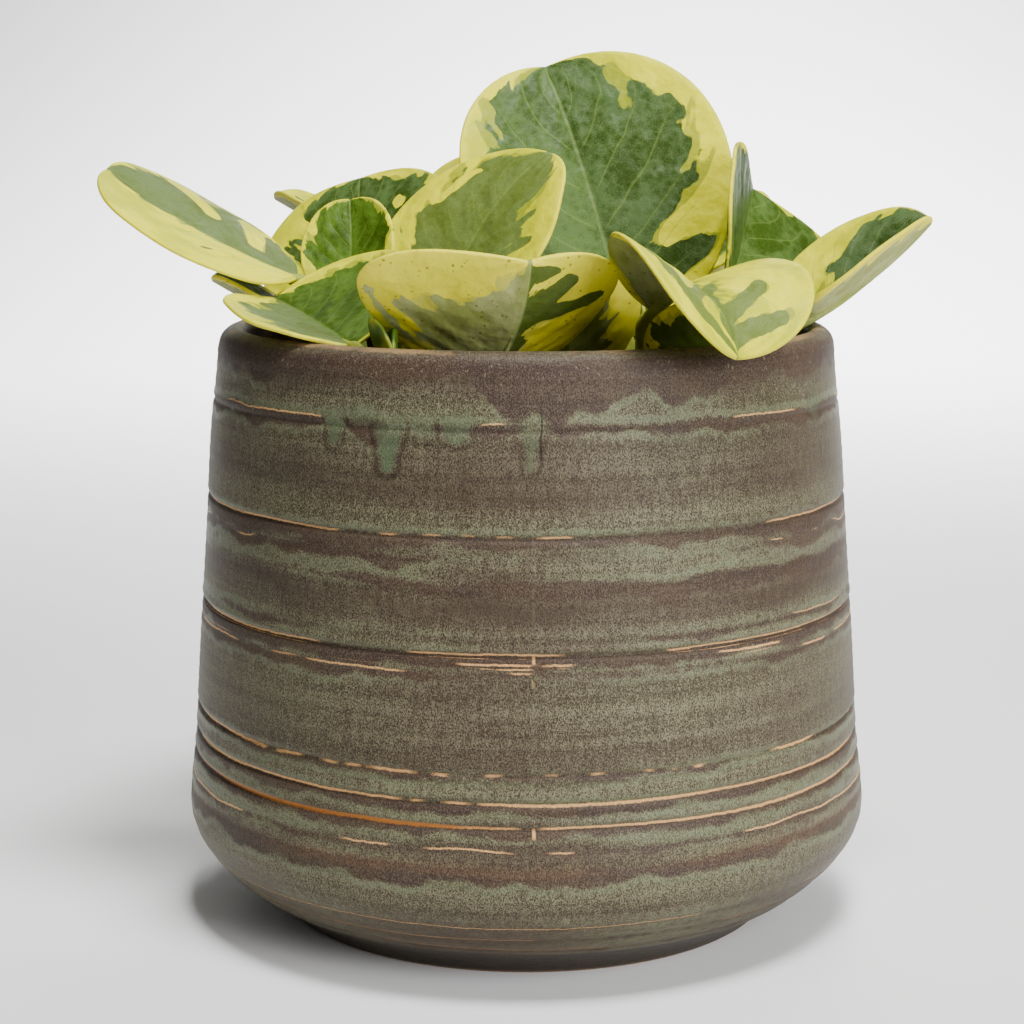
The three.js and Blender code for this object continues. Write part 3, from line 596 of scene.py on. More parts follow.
def stem_look():
    """Green streaked stem, older and browner near the soil, with fresh young leaves at its tip."""
    look = Look("fleshy_stem", Roughness=0.42, Subsurface_Weight=0.12, Subsurface_Scale=0.002)
    x, y, z = look.place()
    streak = look.noise(look.vector(x * 900, y * 900, z * 120), 1.0, 3.0)
    patch = look.noise(look.where(), 130.0, 2.0)
    tip = look.mix(look.ramp(patch, 0.45, 0.6), TIP_GREEN, TIP_PALE)
    color = look.mix(streak, STEM_GREEN, STEM_PALE)
    color = look.mix(look.ramp(patch, 0.48, 0.66) * 0.45, color, STEM_RUSSET)
    color = look.mix(look.ramp(z * 1000, *OLD_STEM) * 0.55, color, STEM_OLD)
    color = look.mix(look.ramp(look.attribute("tip"), 0.3, 0.7), color, tip)
    return look.finish(color, 0.36 + streak * 0.16, look.bump(streak, 0.0004, 0.6))


def leaf_fields(look):
    """The leaf's own numbers and the noises, from which both faces take their markings."""
    where = look.where()
    on = SimpleNamespace(where=where, **{name: look.attribute(name) for name in LEAF_NUMBERS})
    on.under = look.ramp(on.under, 0.3, 0.7)
    on.stalk = look.ramp(on.stalk, 0.3, 0.7)
    on.out = abs(on.across)
    on.scallops = look.noise(where, 210.0, 1.6)
    on.grain = look.noise(where, 3600.0)
    on.cloud = look.noise(look.vector(on.vein * 4, on.across * 2.4, on.seed + 7))
    on.mesh = look.cells(where, 520.0)
    on.rib_line = look.ramp(on.rib, 0.6, 0.25) * (1 - on.stalk)
    lobes = look.noise(look.vector(on.vein * 10, on.across * 1.6, on.seed))
    field = on.centre + (lobes - 0.5) * 0.8 + (on.scallops - 0.5) * 0.4 + (on.grain - 0.5) * 0.03
    on.green = look.ramp(field, -0.012, 0.014)
    veil = look.noise(look.vector(on.vein * 13, on.across * 2.2, on.seed + 11))
    on.half = look.ramp(on.centre + 0.03 + (veil - 0.5) * 0.72 + (on.scallops - 0.5) * 0.2, -0.012, 0.03)
    return on


def side_veins(look, on):
    """Lines that climb towards the tip on both halves and fade out near the rib and the margin."""
    warp = on.vein * VEINS + (on.cloud - 0.5) * 0.7
    gap = abs(look.maths("FRACT", warp) - 0.5)
    return look.ramp(gap, 0.05, 0.012) * look.ramp(on.out, 0.03, 0.1) * look.ramp(on.out, 0.9, 0.5)


def upper_face(look, on):
    """Green lobes from the middle over a paler veil, on yellow, with a cream margin."""
    net = on.mesh - 0.35
    yellow = look.mix(look.ramp(on.cloud, 0.42, 0.62), YELLOW_CREAM, YELLOW_LIME)
    veil = look.mix(on.cloud, GREEN_VEIL, GREEN_VEIL_DEEP)
    grey = look.ramp(on.cloud + net * 0.3 + (on.grain - 0.5) * 0.3, 0.34, 0.7)
    deep = look.mix(grey, GREEN_DEEP, GREEN_GREY)
    fresh = look.mix(look.ramp(on.cloud + net * 0.2, 0.35, 0.65), GREEN_FRESH, GREEN_FRESH_LIGHT)
    deep = look.mix(look.ramp(on.fresh, 0, 1) * 0.9, deep, fresh)
    # Painted sheen: below 0, fresh moves the green towards a paler olive, partly the leaf's own tone
    deep = look.mix(look.ramp(on.fresh, 0, -1), deep, GREEN_PAINTED_SHEEN)
    color = look.mix(on.half * 0.62, yellow, veil)
    color = look.mix(on.green * 0.97, color, deep)
    color = look.mix(look.most(side_veins(look, on) * 0.36, on.rib_line * 0.42), color, VEIN_LIGHT)
    return look.mix(look.ramp(on.out, 0.96, 1.0) * 0.5, color, MARGIN_CREAM)


def lower_face(look, on):
    """The same lobes in paler tones, with small dark dots in places."""
    yellow = look.mix(on.cloud, UNDER_CREAM, UNDER_LIME)
    green = look.mix(look.ramp(on.cloud + (on.scallops - 0.5) * 0.5, 0.35, 0.65), UNDER_GREEN, UNDER_GREY)
    color = look.mix(on.half * 0.45, yellow, green)
    color = look.mix(on.green * 0.95, color, look.mix(look.ramp(on.fresh, 0, 1), green, GREEN_FRESH))
    dots = look.ramp(look.cells(on.where, 620.0), 0.26, 0.14)
    dotted = look.ramp(look.noise(on.where, 260.0, 1.0), 0.48, 0.56)
    color = look.mix(dots * dotted * 0.7, color, UNDER_DOT)
    return look.mix(on.rib_line * 0.3, color, VEIN_LIGHT)


def leaf_look():
    """Waxy variegated leaf with its stalk."""
    look = Look("waxy_leaf", Subsurface_Weight=0.03, Subsurface_Scale=0.002, Specular_IOR_Level=0.11,
                Subsurface_Radius=(0.8, 1.0, 0.35))
    on = leaf_fields(look)
    color = look.mix(on.under, upper_face(look, on), lower_face(look, on))
    color = look.mix(on.stalk * 0.85, color, look.mix(on.grain, PETIOLE_GREEN, PETIOLE_PALE))
    color = look.mix(look.ramp(on.grain, 0.5, 0.75) * 0.09, color, GRAIN_LIGHT)
    color = look.mix(look.ramp(on.grain, 0.48, 0.25) * 0.2, color, GRAIN_DARK)
    rough = 0.42 + (look.noise(on.where, 95.0) - 0.5) * 0.6 + on.under * 0.14
    blister = look.noise(on.where, 170.0)
    relief = blister * 2.2 + on.mesh * 0.16 + look.noise(on.where, 2600.0, 1.0) * 0.14
    return look.finish(color, rough, look.bump(relief, 0.0006, 0.7))


def piece(name, points, faces, material, nodes, numbers):
    """A named mesh from points in millimetres, with a number for each point in each layer of numbers."""
    mesh = bpy.data.meshes.new(name)
    mesh.from_pydata((np.asarray(points, float) * MM).tolist(), [], faces)
    for layer, values in numbers.items():
        attribute = mesh.attributes.new(layer, "FLOAT", "POINT")
        attribute.data.foreach_set("value", np.asarray(values, np.float32))
    mesh.polygons.foreach_set("use_smooth", [True] * len(mesh.polygons))
    mesh.materials.append(material)
    thing = bpy.data.objects.new(name, mesh)
    bpy.context.scene.collection.objects.link(thing)
    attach(thing, "root")
    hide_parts(*nodes)


def smooth_path(points, count):
    """count points on a smooth curve through the given ones, evenly spaced along it."""
    points = np.asarray(points, float)
    ends = [2 * points[0] - points[1], *points, 2 * points[-1] - points[-2]]
    dense = []
    for a, b, c, d in zip(ends, ends[1:], ends[2:], ends[3:]):
        steps = [max(np.linalg.norm(q - p), 1e-6) ** 0.5 for p, q in ((a, b), (b, c), (c, d))]
        knots = np.cumsum([0, *steps])
        for u in np.linspace(knots[1], knots[2], 24, endpoint=False):
            ab = ((knots[1] - u) * a + u * b) / knots[1]
            bc = ((knots[2] - u) * b + (u - knots[1]) * c) / (knots[2] - knots[1])
            cd = ((knots[3] - u) * c + (u - knots[2]) * d) / (knots[3] - knots[2])
            abc = ((knots[2] - u) * ab + u * bc) / knots[2]
            bcd = ((knots[3] - u) * bc + (u - knots[1]) * cd) / (knots[3] - knots[1])
            dense.append(((knots[2] - u) * abc + (u - knots[1]) * bcd) / (knots[2] - knots[1]))
    dense = np.array([*dense, points[-1]])
    walked = np.concatenate([[0], np.cumsum(np.linalg.norm(np.diff(dense, axis=0), axis=1))])
    wanted = np.linspace(0, walked[-1], count)
    return np.stack([np.interp(wanted, walked, dense[:, k]) for k in range(3)], 1)


def tube(path, radii, sides, groove=0.0):
    """Points and faces of a closed round rod along a path. groove flattens its upper side by that share."""
    points, faces = [], []
    ahead = np.gradient(path, axis=0)
    ahead /= np.linalg.norm(ahead, axis=1)[:, None]
    aside = np.cross(ahead[0], (0, 0, 1))
    if np.linalg.norm(aside) < 0.2:
        aside = np.array((1.0, 0, 0))
    for centre, way, radius in zip(path, ahead, radii):
        aside = aside - way * (aside @ way)
        aside /= np.linalg.norm(aside)
        lift = np.cross(aside, way)
        for turn in np.arange(sides) * 2 * math.pi / sides:
            cut = 1 - groove * max(0.0, math.sin(turn)) ** 6
            points.append(centre + radius * (aside * math.cos(turn) + lift * math.sin(turn) * cut))
    rings = len(path)
    for i in range(rings - 1):
        for k in range(sides):
            a, b = i * sides + k, i * sides + (k + 1) % sides
            faces.append((a, b, b + sides, a + sides))
    faces.append(tuple(reversed(range(sides))))
    faces.append(tuple(range((rings - 1) * sides, rings * sides)))
    return np.array(points), faces


def facing_out(points, faces):
    """The same faces, turned over if they enclose a negative volume."""
    corners = np.array([(f[0], f[k], f[k + 1]) for f in faces for k in range(1, len(f) - 1)])
    a, b, c = (np.asarray(points)[corners[:, k]] for k in range(3))
    return faces if np.einsum("ij,ij", a, np.cross(b, c)) > 0 else [tuple(reversed(f)) for f in faces]


def blade_frame(leaf):
    """Directions along a blade at its base, out of its upper face, and to its right."""
    a, r, q = (math.radians(leaf[key]) for key in ("heading", "rise", "roll"))
    along = np.array((math.cos(a) * math.cos(r), math.sin(a) * math.cos(r), math.sin(r)))
    flat_up = np.array((-math.cos(a) * math.sin(r), -math.sin(a) * math.sin(r), math.cos(r)))
    flat_right = np.cross(along, flat_up)
    up = flat_up * math.cos(q) + flat_right * math.sin(q)
    return along, up, np.cross(along, up)


def blade_surface(leaf, s, t):
    """Points of the blade's middle surface, directions out of its upper face, and the reach of its halves."""
    along, up, right = blade_frame(leaf)
    bend = math.radians(leaf["bend"] or 0.01)
    curl = math.radians(leaf["curl"] or 0.01)
    turn = (bend * s)[..., None]
    forward = along * np.cos(turn) - up * np.sin(turn)
    normal = up * np.cos(turn) + along * np.sin(turn)
    length = leaf["length"]
    point = np.array(leaf["base"], float) + along * length * np.sin(turn) / bend
    point = point - up * length * (1 - np.cos(turn)) / bend + right * (leaf["drift"] * s * s)[..., None]
    angle = math.pi * s
    half = leaf["width"] / 2 * (1 + np.sign(t) * leaf["uneven"])
    reach = half * np.sin(angle) * (1 - leaf["taper"] * np.cos(angle))
    lead = (1 - np.cos(angle)) / 2 - s + leaf["notch"] * np.sin(angle) * s * s
    out = np.abs(t)
    fold = np.radians(np.where(t < 0, leaf["fold"][0], leaf["fold"][1]))
    slope = fold + curl * out
    across = reach * (np.sin(slope) - np.sin(fold)) / curl
    lift = reach * (np.cos(fold) - np.cos(slope)) / curl
    point = point + forward * (length * lead * out ** 1.5)[..., None]
    point = point + right * (np.sign(t) * across)[..., None] + normal * lift[..., None]
    slope = np.where(t == 0, 0, slope)[..., None]
    face = normal * np.cos(slope) - right * np.sign(t)[..., None] * np.sin(slope)
    return point, face, reach


def centre_field(marking, s, t):
    """How far inside the green centre each point lies, in shares of the half's width."""
    left = np.interp(s, *zip(*marking["left"]))
    right = np.interp(s, *zip(*marking["right"]))
    field = np.where(t < 0, left, right) - np.abs(t)
    for s0, t0, s1, t1, width, strength in marking.get("strokes", ()):
        run = np.array((s1 - s0, t1 - t0))
        share = np.clip(((s - s0) * run[0] + (t - t0) * run[1]) / (run @ run), 0, 1)
        away = np.hypot(s - s0 - share * run[0], (t - t0 - share * run[1]) * HALF_SHARE)
        field = field + strength * np.exp(-(away / width) ** 4)
    return field


def blade_waves(s, t, vein, size, number):
    """How far a blade's surface rises and falls: waves at the margin, puckers between veins, a slow sway."""
    phase = np.random.default_rng(number).uniform(0, 2 * math.pi, 4)
    out = np.abs(t)
    wave = np.sin(s * 11 + phase[0] + np.sign(t)) * 0.28 + np.sin(s * 23 + phase[1]) * 0.12
    inside = np.sin(math.pi * np.clip(out, 0, 1)) ** 0.7
    pucker = np.cos(2 * math.pi * vein * VEINS + phase[2]) * 0.11 * inside
    slow = np.sin(t * 3.1 + phase[3] + s * 4) * 0.18 * out
    return (wave * out ** 3 + pucker + slow) * size * np.sin(math.pi * s) ** 0.5


def blade_faces(rows, columns):
    """Faces of one side of a blade, the loop round its border and the points just inside that loop."""
    wide = 2 * columns + 1
    last = (rows - 1) * wide + 1

    def at(i, j):
        return 1 + i * wide + j

    faces = []
    for j in range(2 * columns):
        faces.append((0, at(0, j + 1), at(0, j)))
        faces.append((at(rows - 2, j), at(rows - 2, j + 1), last))
        for i in range(rows - 2):
            faces.append((at(i, j), at(i, j + 1), at(i + 1, j + 1), at(i + 1, j)))
    up, down = range(rows - 1), range(rows - 2, -1, -1)
    border = [0, *[at(i, wide - 1) for i in up], last, *[at(i, 0) for i in down]]
    inner = [at(0, columns), *[at(i, wide - 2) for i in up], at(rows - 2, columns)]
    inner += [at(i, 1) for i in down]
    return faces, border, inner


def blade_mesh(leaf, marking, rows, columns, thickness, number):
    """Points, faces and number layers of a blade with rounded margins."""
    across = np.linspace(-1, 1, 2 * columns + 1)
    grid_s, grid_t = np.meshgrid(np.arange(1, rows) / rows, across, indexing="ij")
    s = np.concatenate([[0.0], grid_s.ravel(), [1.0]])
    t = np.concatenate([[0.0], grid_t.ravel(), [0.0]])
    point, face, reach = blade_surface(leaf, s, t)
    size = leaf["width"] / RELIEF_WIDTH
    from_rib = np.abs(t) * reach
    vein = s - VEIN_CLIMB * np.abs(t) * (1 - 0.35 * s)
    point = point + face * blade_waves(s, t, vein, size, number)[:, None]
    thin = min(thickness, BLADE_EDGE)
    depth = thickness + (thin - thickness) * t ** 2
    depth[-1] = thin
    channel = 0.34 * size * np.exp(-(from_rib / (0.75 * size)) ** 2) * (1 - 0.7 * s)
    ridge = 0.35 * size * np.exp(-(from_rib / (1.2 * size)) ** 2) * (1 - 0.8 * s)
    upper = point + face * (depth / 2 - channel)[:, None]
    lower = point - face * (depth / 2 + ridge)[:, None]
    middle = (upper + lower) / 2
    points = [*upper, *lower]
    below = len(upper)
    numbers = {"across": t, "vein": vein, "rib": from_rib, "centre": centre_field(marking, s, t)}
    layers = {name: [*values, *values] for name, values in numbers.items()}
    layers["under"] = [0.0] * below + [1.0] * below
    faces, border, inner = blade_faces(rows, columns)
    faces += [tuple(k + below for k in reversed(f)) for f in faces]
    loops = [border]
    for share in MARGIN_TURNS:
        turn = math.pi * share
        loops.append(range(len(points), len(points) + len(border)))
        for b, i in zip(border, inner):
            outward = middle[b] - middle[i]
            outward /= np.linalg.norm(outward)
            radius = depth[b] / 2
            bulge = radius * 0.8 * outward * math.sin(turn)
            points.append(middle[b] + bulge + radius * face[b] * math.cos(turn))
            for name, values in numbers.items():
                layers[name].append(values[b])
            layers["under"].append(share)
    loops.append([b + below for b in border])
    for near, far in zip(loops, loops[1:]):
        for k in range(len(border)):
            n = (k + 1) % len(border)
            faces.append((near[k], far[k], far[n], near[n]))
    return np.array(points), faces, layers


def join(parts):
    """One list of points, faces and number layers from several, with missing numbers as 0."""
    points, faces, layers = [], [], {}
    names = sorted({name for _, _, numbers in parts for name in numbers})
    for some_points, some_faces, numbers in parts:
        start = len(points)
        points += list(some_points)
        faces += [tuple(k + start for k in face) for face in facing_out(some_points, some_faces)]
        for name in names:
            layers.setdefault(name, []).extend(numbers.get(name, [0.0] * len(some_points)))
    return np.array(points), faces, layers


def stem_points(stem):
    """The stem's bottom in the soil, its foot just above the soil, and its top."""
    bottom = np.array((*stem["foot"], SOIL_TOP - STEM_SUNK))
    foot = np.array((*stem["foot"], SOIL_TOP + STEM_STRAIGHT))
    return bottom, foot, np.array(stem["top"], float)


def stem_at(stem, height):
    """The stem's axis point and radius at a height."""
    bottom, foot, top = stem_points(stem)
    share = (height - foot[2]) / (top[2] - foot[2])
    whole = (height - bottom[2]) / (top[2] - bottom[2])
    return foot + (top - foot) * share, STEM_RADIUS + (STEM_TIP_RADIUS - STEM_RADIUS) * whole


def stalk_mesh(leaf):
    """Points, faces and number layers of a leaf's stalk, from inside the stem to the keel under the blade."""
    along, _, _ = blade_frame(leaf)
    base = np.array(leaf["base"], float)
    axis, radius = stem_at(STEMS[leaf["stem"]], leaf["leaves_at"])
    outward = base - axis
    outward[2] = 0
    outward /= np.linalg.norm(outward)
    start = axis + outward * (radius + STALK_GAP)
    reach = np.linalg.norm(base - start)
    leave = start + outward * reach * 0.25 + np.array((0, 0, reach * 0.04))
    arrive = base - along * reach * 0.3
    keel_s, keel_depth = np.array(STALK_KEEL).T
    keel, face, _ = blade_surface(leaf, keel_s, np.zeros(len(STALK_KEEL)))
    keel = keel - face * keel_depth[:, None]
    path = smooth_path([start - outward * STALK_SUNK, leave, arrive, *keel], STALK_RINGS)
    share = np.linspace(0, 1, STALK_RINGS)
    points, faces = tube(path, np.interp(share, *zip(*STALK_RADII)), STALK_SIDES, STALK_GROOVE)
    whole = np.ones(STALK_RINGS)
    numbers = {"stalk": np.interp(share, (0, 0.45, 0.6), (1, 1, 0.2)), "vein": share * 0.5, "under": whole,
               "centre": whole * 0.5, "rib": whole * 5}
    return points, faces, {name: np.repeat(values, STALK_SIDES) for name, values in numbers.items()}


def make_leaf(number, name, leaf, look):
    """A leaf and its stalk, as one piece."""
    rows, columns = ((64, 22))
    marking = MARKINGS[name]
    blade = blade_mesh(leaf, marking, rows, columns, BLADE_MID, number)
    points, faces, layers = join([blade, stalk_mesh(leaf)])
    # A half's own value gives it a deeper or paler green, partly as painted shade and painted sheen
    fresh = marking["fresh"]
    fresh_shade_sheen_left = marking.get("fresh_shade_sheen_left", fresh)
    layers["fresh"] = [fresh_shade_sheen_left if t < 0 else fresh for t in layers["across"]]
    layers["seed"] = [number * 1.37] * len(points)
    piece(name + "_fine", points, faces, look, [name], layers)


def make_stem(number, name, stem, look):
    """A stem with its nodes and the two young leaves at its tip."""
    bottom, foot, top = stem_points(stem)
    path = smooth_path([bottom, foot, top], STEM_RINGS)
    radii = STEM_RADIUS + (STEM_TIP_RADIUS - STEM_RADIUS) * np.linspace(0, 1, STEM_RINGS)
    nodes = [leaf["leaves_at"] for leaf in LEAVES.values() if leaf["stem"] == name]
    for height in [*nodes, FIRST_NODE]:
        radii = radii + NODE_SWELL * np.exp(-((path[:, 2] - height) / NODE_HALF) ** 2)
    radii[-1] *= 0.5
    rod, faces = tube(path, radii, STEM_SIDES)
    parts = [(rod, faces, {"tip": [0.0] * len(rod)})]
    for turn, rise, length, width in YOUNG_LEAVES:
        young = dict(base=top - (0, 0, YOUNG_SUNK), heading=stem["heading"] + turn, rise=rise, roll=0,
                     length=length, width=width, bend=-30, fold=(22, 22), curl=10, drift=0, uneven=0, notch=0,
                     taper=0)
        points, faces, _ = blade_mesh(young, YOUNG_MARKING, 24, 8, YOUNG_THICKNESS, number)
        parts.append((points, faces, {"tip": [1.0] * len(points)}))
    points, faces, layers = join(parts)
    piece(name + "_fine", points, faces, look, [name], layers)


def smooth_profile(points, count):
    """smooth_path for (radius, height) points."""
    return smooth_path([(r, z, 0) for r, z in points], count)[:, :2]


def wall_profile():
    """Closely spaced (radius, height) points from under the foot to the floor inside, then the numbers of the
    first point of the outer wall and the first of the lip."""
    outer = smooth_profile(WALL, 400)
    heights = np.arange(0, WALL[-1][1], WALL_STEP)
    for at in GROOVES:
        close = np.linspace(at - GROOVE_HALF * 1.5, at + GROOVE_HALF * 1.5, 9)
        heights = np.concatenate([heights[np.abs(heights - at) > 1.4], close])
    heights = np.sort(heights)
    radius = np.interp(heights, outer[:, 1], outer[:, 0])
    for at in GROOVES:
        away = (heights - at) / GROOVE_HALF
        share = HIGH_GROOVE_SHARE if at > HIGH_GROOVE else 1.0
        cut = GROOVE_DEPTH * np.exp(-away ** 2 * 2.2)
        radius = radius - share * (cut - GROOVE_LIP * np.exp(-((away - 1.6) ** 2) * 3))
    for at, deep in FINE_LINES:
        radius = radius - deep * np.exp(-((heights - at) / FINE_LINE_HALF) ** 2)
    lip = smooth_profile([WALL[-1], *LIP, CAVITY[0]], 26)[1:]
    inner = smooth_profile(CAVITY, 24)[1:]
    under = [(r, 0.0) for r in np.linspace(CENTRE_RADIUS, FOOT_FACE_RADIUS, 8)]
    floor = [(r, FLOOR_HEIGHT) for r in np.linspace(FLOOR_RADIUS, CENTRE_RADIUS, 5)]
    body = np.stack([radius, heights], 1)
    body[0] = (FOOT_RADIUS, 0.0)
    return np.array([*under, *body, *lip, *inner, *floor]), len(under), len(under) + len(body)


def ripple(angles, sizes, rng):
    """A wavy curve around the pot, from (waves around, size) pairs."""
    return sum(size * np.sin(waves * angles + rng.uniform(0, 2 * math.pi)) for waves, size in sizes)


def true_angle(seen):
    """The degrees around the wall of what is read at these degrees from the front. Past 90 they hold."""
    if abs(seen) >= 90:
        return seen
    limb = WALL_RADIUS / math.sqrt(EYE_DISTANCE ** 2 - WALL_RADIUS ** 2)
    view = math.atan(math.sin(math.radians(seen)) * limb)
    return round(math.degrees(math.asin(EYE_DISTANCE / WALL_RADIUS * math.sin(view)) - view), 1)


def read_around(turn, pairs):
    """The numbers at degrees around the pot, from (degrees read, number) pairs."""
    return np.interp(turn, [true_angle(seen) for seen, _ in pairs], [number for _, number in pairs])


def turned(degrees):
    """Degrees brought to between -180 and 180."""
    return (degrees + 180) % 360 - 180


def lines_behind(rng):
    """Lines on the hidden side, as (from, to). One that wraps round is left out."""
    lines = []
    start, end = BEHIND
    while start < end:
        length = rng.uniform(*BEHIND_LINES)
        lines.append((turned(start), turned(start + length)))
        start += length + rng.uniform(*BEHIND_GAPS)
    return [(first, last) for first, last in lines if first < last]


def glaze_numbers(angles, heights):
    """The numbers that the glaze reads at points of the wall, from the table of breaks."""
    turn = turned(np.degrees(angles))
    band = np.full(angles.shape, FAR_BAND)
    nearest = np.full(angles.shape, 99.0)
    lines = {"line": np.full(angles.shape, FAR_LINE), "gate": np.full(angles.shape, NO_GATE),
             "warm": np.zeros(angles.shape), "bold": np.zeros(angles.shape)}
    for height, bold, warm, wavy, depths, arcs in BREAKS:
        rng = np.random.default_rng(int(height * 10))
        at = height + ripple(angles, EDGE_SWAY, rng) + wavy * ripple(angles, EDGE_WAVES, rng)
        depth = read_around(turn, depths)
        depth = depth + (0.12 + 0.14 * np.abs(depth)) * ripple(angles, BAND_WAVES, rng)
        band = np.maximum(band, np.minimum(at - heights, heights - at + depth))
        if not bold:
            continue
        gate = np.full(angles.shape, NO_GATE)
        for first, last in [*[(true_angle(a), true_angle(b)) for a, b in arcs], *lines_behind(rng)]:
            gate = np.maximum(gate, np.minimum(turn - first, last - turn))
        close = np.abs(heights - at)
        here = close < nearest
        nearest = np.where(here, close, nearest)
        gate = np.where(close < LINE_REACH, np.clip(gate, NO_GATE, -NO_GATE), NO_GATE)
        rust = read_around(turn, warm) if isinstance(warm, tuple) else warm
        near = {"line": heights - at, "gate": gate, "warm": rust, "bold": bold}
        lines = {name: np.where(here, near[name], lines[name]) for name in lines}
    rng = np.random.default_rng(7)
    thick = 0.12 + 0.3 * ripple(angles, THICK_WAVES, rng)
    for height, half, strength in THICK_ZONES:
        middle = height + ripple(angles, ZONE_WAVES, rng)
        thick = thick + strength * np.exp(-((heights - middle) / half) ** 2)
    return {"band": band, **lines, "thick": thick}


def turned_faces(rings, sides):
    """Faces of a closed turned form: its first point, rings of points from there on and its last point."""
    last = rings * sides + 1

    def at(i, k):
        return 1 + i * sides + k % sides

    faces = []
    for k in range(sides):
        faces.append((0, at(0, k), at(0, k + 1)))
        faces.append((last, at(rings - 1, k + 1), at(rings - 1, k)))
        faces += [(at(i, k), at(i + 1, k), at(i + 1, k + 1), at(i, k + 1)) for i in range(rings - 1)]
    return faces


def make_pot(look):
    """The thrown pot, with its throwing rings and a slow wobble on the outer wall."""
    sides = 320
    profile, start, end = wall_profile()
    rings = len(profile)
    angles = np.tile(np.arange(sides) * 2 * math.pi / sides, rings)
    radius = np.repeat(profile[:, 0], sides)
    heights = np.repeat(profile[:, 1], sides)
    outside = np.repeat([start <= i < end for i in range(rings)], sides)
    calm = np.clip((heights - 3) / 8, 0, 1) * outside
    rng = np.random.default_rng(3)
    throwing = sum(size * np.sin(heights * waves + phase) for waves, phase, size in THROWING_RINGS)
    radius = radius + calm * throwing
    for waves, twist, size in WOBBLE:
        radius = radius + calm * size * np.sin(waves * angles + twist * heights + rng.uniform(0, 6))
    points = np.stack([radius * np.sin(angles), -radius * np.cos(angles), heights], 1)
    points = np.array([(0, 0, 0), *points, (0, 0, FLOOR_HEIGHT)])
    numbers = {name: [0.0, *values, 0.0] for name, values in glaze_numbers(angles, heights).items()}
    faces = facing_out(points, turned_faces(rings, sides))
    piece("pot_thrown", points, faces, look, ["pot"], numbers)


def soil_block():
    """Points, faces and numbers of the soil: a rough mound and the plain block below it."""
    sides, rings = ((140, 46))
    turns = [2 * math.pi * k / sides for k in range(sides)]
    points = [(0.0, 0.0, SOIL_TOP)]
    for i in range(1, rings + 1):
        radius = SOIL_RADIUS * i / rings
        mound = np.interp(radius, *zip(*SOIL_MOUND))
        fade = min(1.0, (SOIL_RADIUS - radius) / 3 + 0.15)
        for turn in turns:
            x, y = radius * math.cos(turn), radius * math.sin(turn)
            lumps = noise.noise((x * 0.09, y * 0.09, 3.0)) * 0.9
            rough = lumps + noise.noise((x * 0.45, y * 0.45, 7.0)) * 0.55
            points.append((x, y, mound + (rough - 0.4) * fade))
    for radius, height in SOIL_SIDE:
        points += [(radius * math.cos(turn), radius * math.sin(turn), height) for turn in turns]
    points.append((0.0, 0.0, SOIL_SIDE[-1][1]))
    return np.array(points), turned_faces(rings + len(SOIL_SIDE), sides), {"chip": [0.0] * len(points)}


def soil_chips():
    """Bark chips and perlite grains, as small uneven boxes strewn over the soil."""
    draw = np.random.default_rng(20)
    corners = np.array([(x, y, z) for x in (-1, 1) for y in (-1, 1) for z in (-1, 1)], float)
    faces = [(0, 1, 3, 2), (4, 6, 7, 5), (0, 4, 5, 1), (2, 3, 7, 6), (0, 2, 6, 4), (1, 5, 7, 3)]
    chips = []
    for _ in range(CHIPS):
        radius = CHIPS_RADIUS * math.sqrt(draw.uniform())
        angle = draw.uniform(0, 2 * math.pi)
        height = np.interp(radius, *zip(*CHIPS_MOUND)) - CHIP_SUNK
        size = draw.uniform(0.5, 1.9) * np.array((1.0, draw.uniform(0.4, 1.0), draw.uniform(0.35, 0.7)))
        spin, lean = draw.uniform(0, 2 * math.pi), draw.uniform(-0.5, 0.5)
        shape = corners * size * (1 + draw.uniform(-0.25, 0.25, (8, 3)))
        c, s = math.cos(lean), math.sin(lean)
        leaned = shape @ np.array(((1, 0, 0), (0, c, s), (0, -s, c)))
        c, s = math.cos(spin), math.sin(spin)
        spun = leaned @ np.array(((c, s, 0), (-s, c, 0), (0, 0, 1)))
        kind = 1.0 if draw.uniform() < PERLITE_SHARE else 0.5
        place = np.array((radius * math.cos(angle), radius * math.sin(angle), height))
        chips.append((spun + place, faces, {"chip": [kind] * 8}))
    return chips


def make_soil(look):
    points, faces, layers = join([soil_block(), *soil_chips()])
    piece("soil_surface", points, faces, look, ["soil"], layers)


make_pot(glaze_look())
make_soil(soil_look())
stem_green = stem_look()
leaf_skin = leaf_look()
for number, (name, stem) in enumerate(STEMS.items(), 40):
    make_stem(number, name, stem, stem_green)
for number, (name, leaf) in enumerate(LEAVES.items(), 1):
    make_leaf(number, name, leaf, leaf_skin)

# Studio, in metres: a pale floor that sweeps up behind, three lights and a dim world
FLOOR_HALF_WIDTH = 6.0
FLOOR_NEAR = -6.0
FLOOR_MIDDLE = -1.0
SWEEP_START = 1.2
SWEEP_RADIUS = 0.8
FLOOR_TOP = 3.0
FLOOR_WHITE = (0.93, 0.93, 0.93, 1)
FLOOR_WHITER = (0.95, 0.95, 0.95, 1)
# Each light's place, the point it faces, the side of its square, its watts and how wide it spreads
LIGHTS = {
    "key_light": ((0.76, -0.93, 0.55), (0, 0, 0.1), 0.75, 22, 180),
    "back_light": ((0.3, 1.5, 1.6), (0.12, 1.32, 0), 0.9, 34, 74),
    "top_light": ((0.1, -0.25, 1.0), (0, 0, 0.16), 0.3, 1.2, 50),
}
WORLD_STRENGTH = 0.06
# Camera, fitted to the photograph: its focal length and side in pixels, place, tilt down and turn to the left
FOCAL_PIXELS = 2350
PHOTO_SIDE = 1024
SENSOR_WIDTH = 36
CAMERA_PLACE = (0, -EYE_DISTANCE * MM, 0.1856)
CAMERA_TILT = 9.52
CAMERA_TURN = 0.347


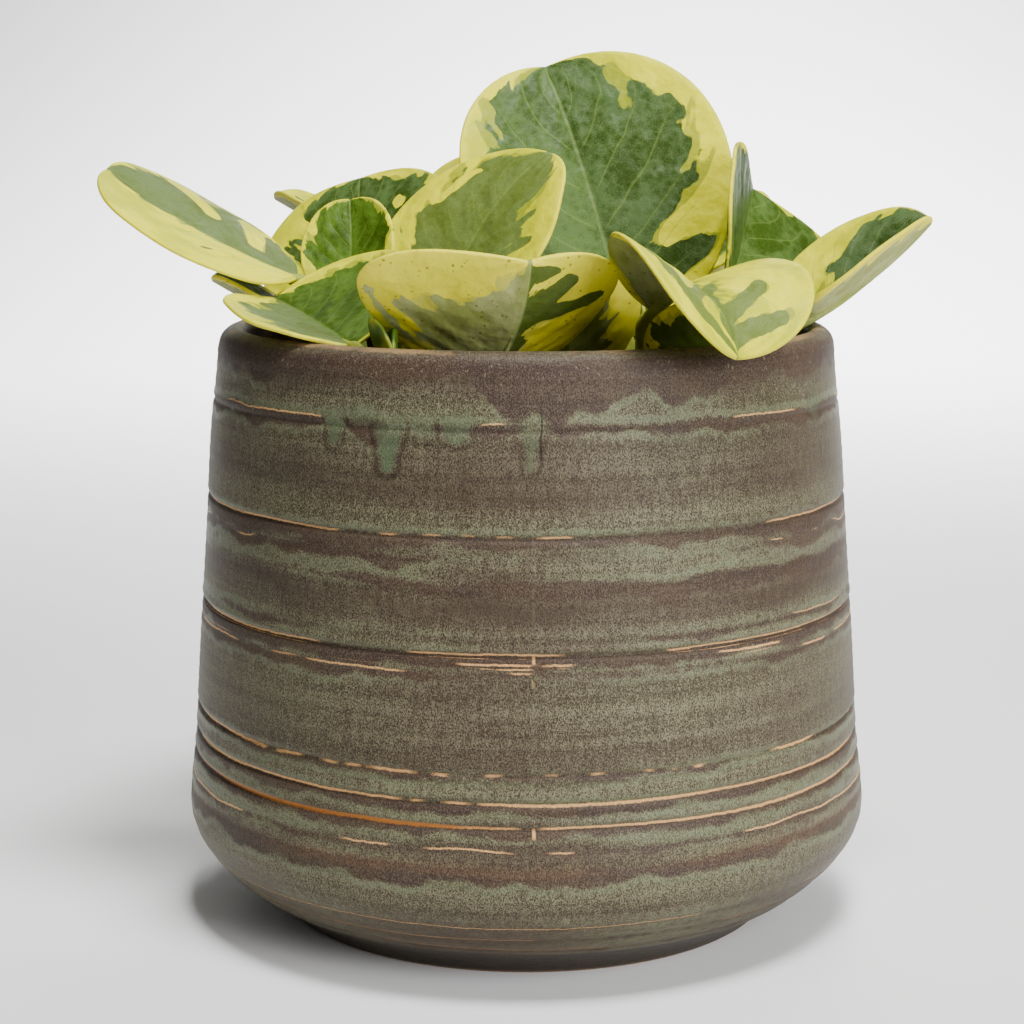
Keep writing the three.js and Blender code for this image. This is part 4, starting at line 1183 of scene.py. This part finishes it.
def make_floor():
    steps = np.linspace(0, math.pi / 2, 40)
    sweep = [(SWEEP_START + SWEEP_RADIUS * math.sin(a), SWEEP_RADIUS * (1 - math.cos(a))) for a in steps]
    curve = [(FLOOR_NEAR, 0.0), (FLOOR_MIDDLE, 0.0), *sweep, (SWEEP_START + SWEEP_RADIUS, FLOOR_TOP)]
    points = [(side * FLOOR_HALF_WIDTH, y, z) for y, z in curve for side in (-1, 1)]
    faces = [(2 * i, 2 * i + 1, 2 * i + 3, 2 * i + 2) for i in range(len(curve) - 1)]
    mesh = bpy.data.meshes.new("floor_sweep")
    mesh.from_pydata([tuple(p) for p in points], [], faces)
    mesh.polygons.foreach_set("use_smooth", [True] * len(faces))
    look = Look("floor_white", Roughness=0.9)
    mesh.materials.append(look.finish(look.mix(look.noise(look.where(), 40.0), FLOOR_WHITE, FLOOR_WHITER)))
    floor = bpy.data.objects.new("floor_sweep", mesh)
    bpy.context.scene.collection.objects.link(floor)


def make_light(name, place, aim, side, power, spread):
    data = bpy.data.lights.new(name, "AREA")
    data.shape = "RECTANGLE"
    data.size = side
    data.size_y = side
    data.energy = power
    data.spread = math.radians(spread)
    lamp = bpy.data.objects.new(name, data)
    bpy.context.scene.collection.objects.link(lamp)
    lamp.location = place
    x, y, z = np.array(aim, float) - np.array(place, float)
    lamp.rotation_euler = (math.atan2(math.hypot(x, y), -z), 0, math.atan2(y, x) - math.pi / 2)


def make_world():
    world = bpy.data.worlds.new("studio")
    world.use_nodes = True
    background = world.node_tree.nodes["Background"]
    background.inputs[0].default_value = (1, 1, 1, 1)
    background.inputs[1].default_value = WORLD_STRENGTH
    bpy.context.scene.world = world


def make_camera():
    data = bpy.data.cameras.new("camera")
    data.sensor_width = SENSOR_WIDTH
    data.lens = FOCAL_PIXELS * SENSOR_WIDTH / PHOTO_SIDE
    camera = bpy.data.objects.new("camera", data)
    camera.location = CAMERA_PLACE
    camera.rotation_euler = (math.radians(90 - CAMERA_TILT), 0, math.radians(CAMERA_TURN))
    bpy.context.scene.collection.objects.link(camera)
    bpy.context.scene.camera = camera


make_floor()
for name, light in LIGHTS.items():
    make_light(name, *light)
make_world()
make_camera()

bpy.context.view_layer.update()
